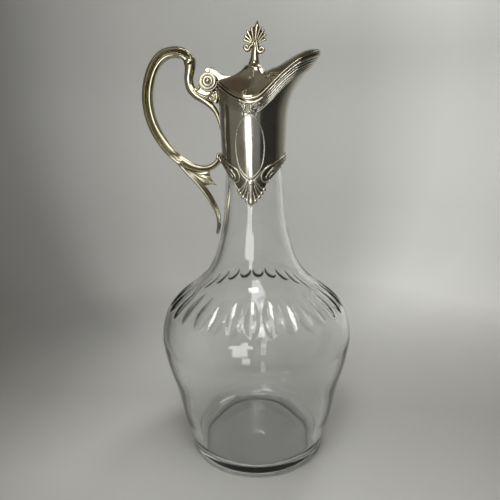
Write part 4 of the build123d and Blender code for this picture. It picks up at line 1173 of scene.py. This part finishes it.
paintedLightPaper, tree, shader, place = newMaterial("paintedLightPaper")
apart = addNode(tree, "ShaderNodeSeparateXYZ", {"Vector": place}).outputs
turn = addNode(tree, "ShaderNodeMath", {0: apart["X"], 1: apart["Y"]}, operation="ARCTAN2").outputs["Value"]
wallTone = toned(tree, turn, -math.pi, math.pi, [(math.radians(a), tone) for a, tone in paintedWallLight])
onFloor = addNode(tree, "ShaderNodeCombineXYZ", {"X": apart["X"], "Y": apart["Y"]}).outputs["Vector"]
away = addNode(tree, "ShaderNodeVectorMath", {0: onFloor}, operation="LENGTH").outputs["Value"]
# painted light and shade: the table's tone across it, and the whole paper's tone by depth and by height
paintedTableLight = [(x, tuple(v * c for c in studio["nearTone"])) for x, v in studio["across"]]
tableTone = toned(tree, apart["X"], -0.4, 0.4, paintedTableLight)
farShare = mapped(tree, away, studio["nearTo"], studio["farFrom"], kind="SMOOTHSTEP")
paperTone = mixed(tree, farShare, tableTone, wallTone)
for axis, start, tones in (("Y", -0.1, studio["deep"]), ("Z", 0.0, studio["rise"])):
    paperTone = mixed(tree, 1.0, paperTone, toned(tree, apart[axis], start, 0.4, tones), "MULTIPLY")
fill(tree, shader, {"Base Color": paperTone, "Roughness": studio["paperRough"],
                    "Specular IOR Level": studio["paperShine"]})
roomMesh.materials.append(paintedLightPaper)

world = bpy.data.worlds.new("studioWorld")
bpy.context.scene.world = world
world.use_nodes = True
tree = world.node_tree
direction = addNode(tree, "ShaderNodeTexCoord").outputs["Generated"]
apart = addNode(tree, "ShaderNodeSeparateXYZ", {"Vector": direction}).outputs
overhead = ramp(tree, apart["Z"], studio["overhead"])
leftShare = mapped(tree, apart["X"], -0.1, -0.45, kind="SMOOTHSTEP")
fill(tree, tree.nodes["Background"], {"Color": mixed(tree, leftShare, overhead, studio["leftLight"]),
                                      "Strength": studio["world"]})
# lamps as (place, target, size, radiance, roll, spread), lengths in metres and angles in degrees
lamps = {
    "windowMiddle": ((-0.13, -0.62, 0.292), (-0.13, 0, 0.292), (0.31, 0.115), 4.2, 6, 180),
    "windowLow": ((-0.135, -0.62, 0.178), (-0.135, 0, 0.178), (0.19, 0.125), 4.0, 6, 180),
    "windowHigh": ((-0.085, -0.62, 0.43), (-0.085, 0, 0.43), (0.10, 0.165), 4.2, 6, 180),
    "windowFoot": ((-0.14, -1.5, -0.01), (-0.14, 0, -0.01), (0.24, 0.22), 3.5, 0, 180),
    "ceiling": ((0.027, -0.152, 0.335), (0.027, -0.152, 0), (0.077, 0.14), 3.8, 0, 180),
    "wallWash": ((0.28, 0.36, 0.85), (-0.08, 0.60, 0.15), (0.4, 0.25), 5.0, 0, 105),
    "tableWash": ((0.0, -0.42, 0.95), (0.0, -0.30, 0.0), (0.25, 0.12), 3.6, 0, 70),
    "roomRight": ((0.19, -0.64, 0.25), (0.19, 0, 0.25), (0.30, 0.34), 0.26, 0, 180)}
for name, (place, target, size, radiance, roll, spreadAngle) in lamps.items():
    data = bpy.data.lights.new(name, "AREA")
    data.shape = "RECTANGLE"
    data.size, data.size_y = size
    data.energy = radiance * math.pi * size[0] * size[1]
    data.color = studio["lampTint"]
    data.spread = math.radians(spreadAngle)
    lamp = bpy.data.objects.new(name, data)
    bpy.context.scene.collection.objects.link(lamp)
    lamp.location = place
    lamp.rotation_mode = "QUATERNION"
    facing = (Vector(target) - Vector(place)).to_track_quat("-Z", "Y")
    lamp.rotation_quaternion = facing @ Quaternion((0, 0, 1), math.radians(roll))
print("studio made")


# camera
view = {"place": (0.0384, -0.3368, 0.241), "aside": 6.5, "yaw": 0.615, "pitch": 15.1, "roll": -0.961}
heading = math.radians(view["aside"] + view["yaw"])
pitch, roll = math.radians(view["pitch"]), math.radians(view["roll"])
ahead = Vector((-math.sin(heading) * math.cos(pitch), math.cos(heading) * math.cos(pitch), -math.sin(pitch)))
right = ahead.cross(Vector((0, 0, 1))).normalized()
up = right.cross(ahead)
rolledRight = right * math.cos(roll) + up * math.sin(roll)
rolledUp = up * math.cos(roll) - right * math.sin(roll)
cameraData = bpy.data.cameras.new("camera")
cameraData.lens = 36.0
cameraData.sensor_width = 36.0
cameraData.clip_start = 0.01
camera = bpy.data.objects.new("camera", cameraData)
bpy.context.scene.collection.objects.link(camera)
facing = Matrix((rolledRight, rolledUp, -ahead)).transposed().to_4x4()
camera.matrix_world = Matrix.Translation(view["place"]) @ facing
bpy.context.scene.camera = camera
bpy.context.scene.view_settings.view_transform = "Standard"

bpy.context.view_layer.update()
print("scene done")
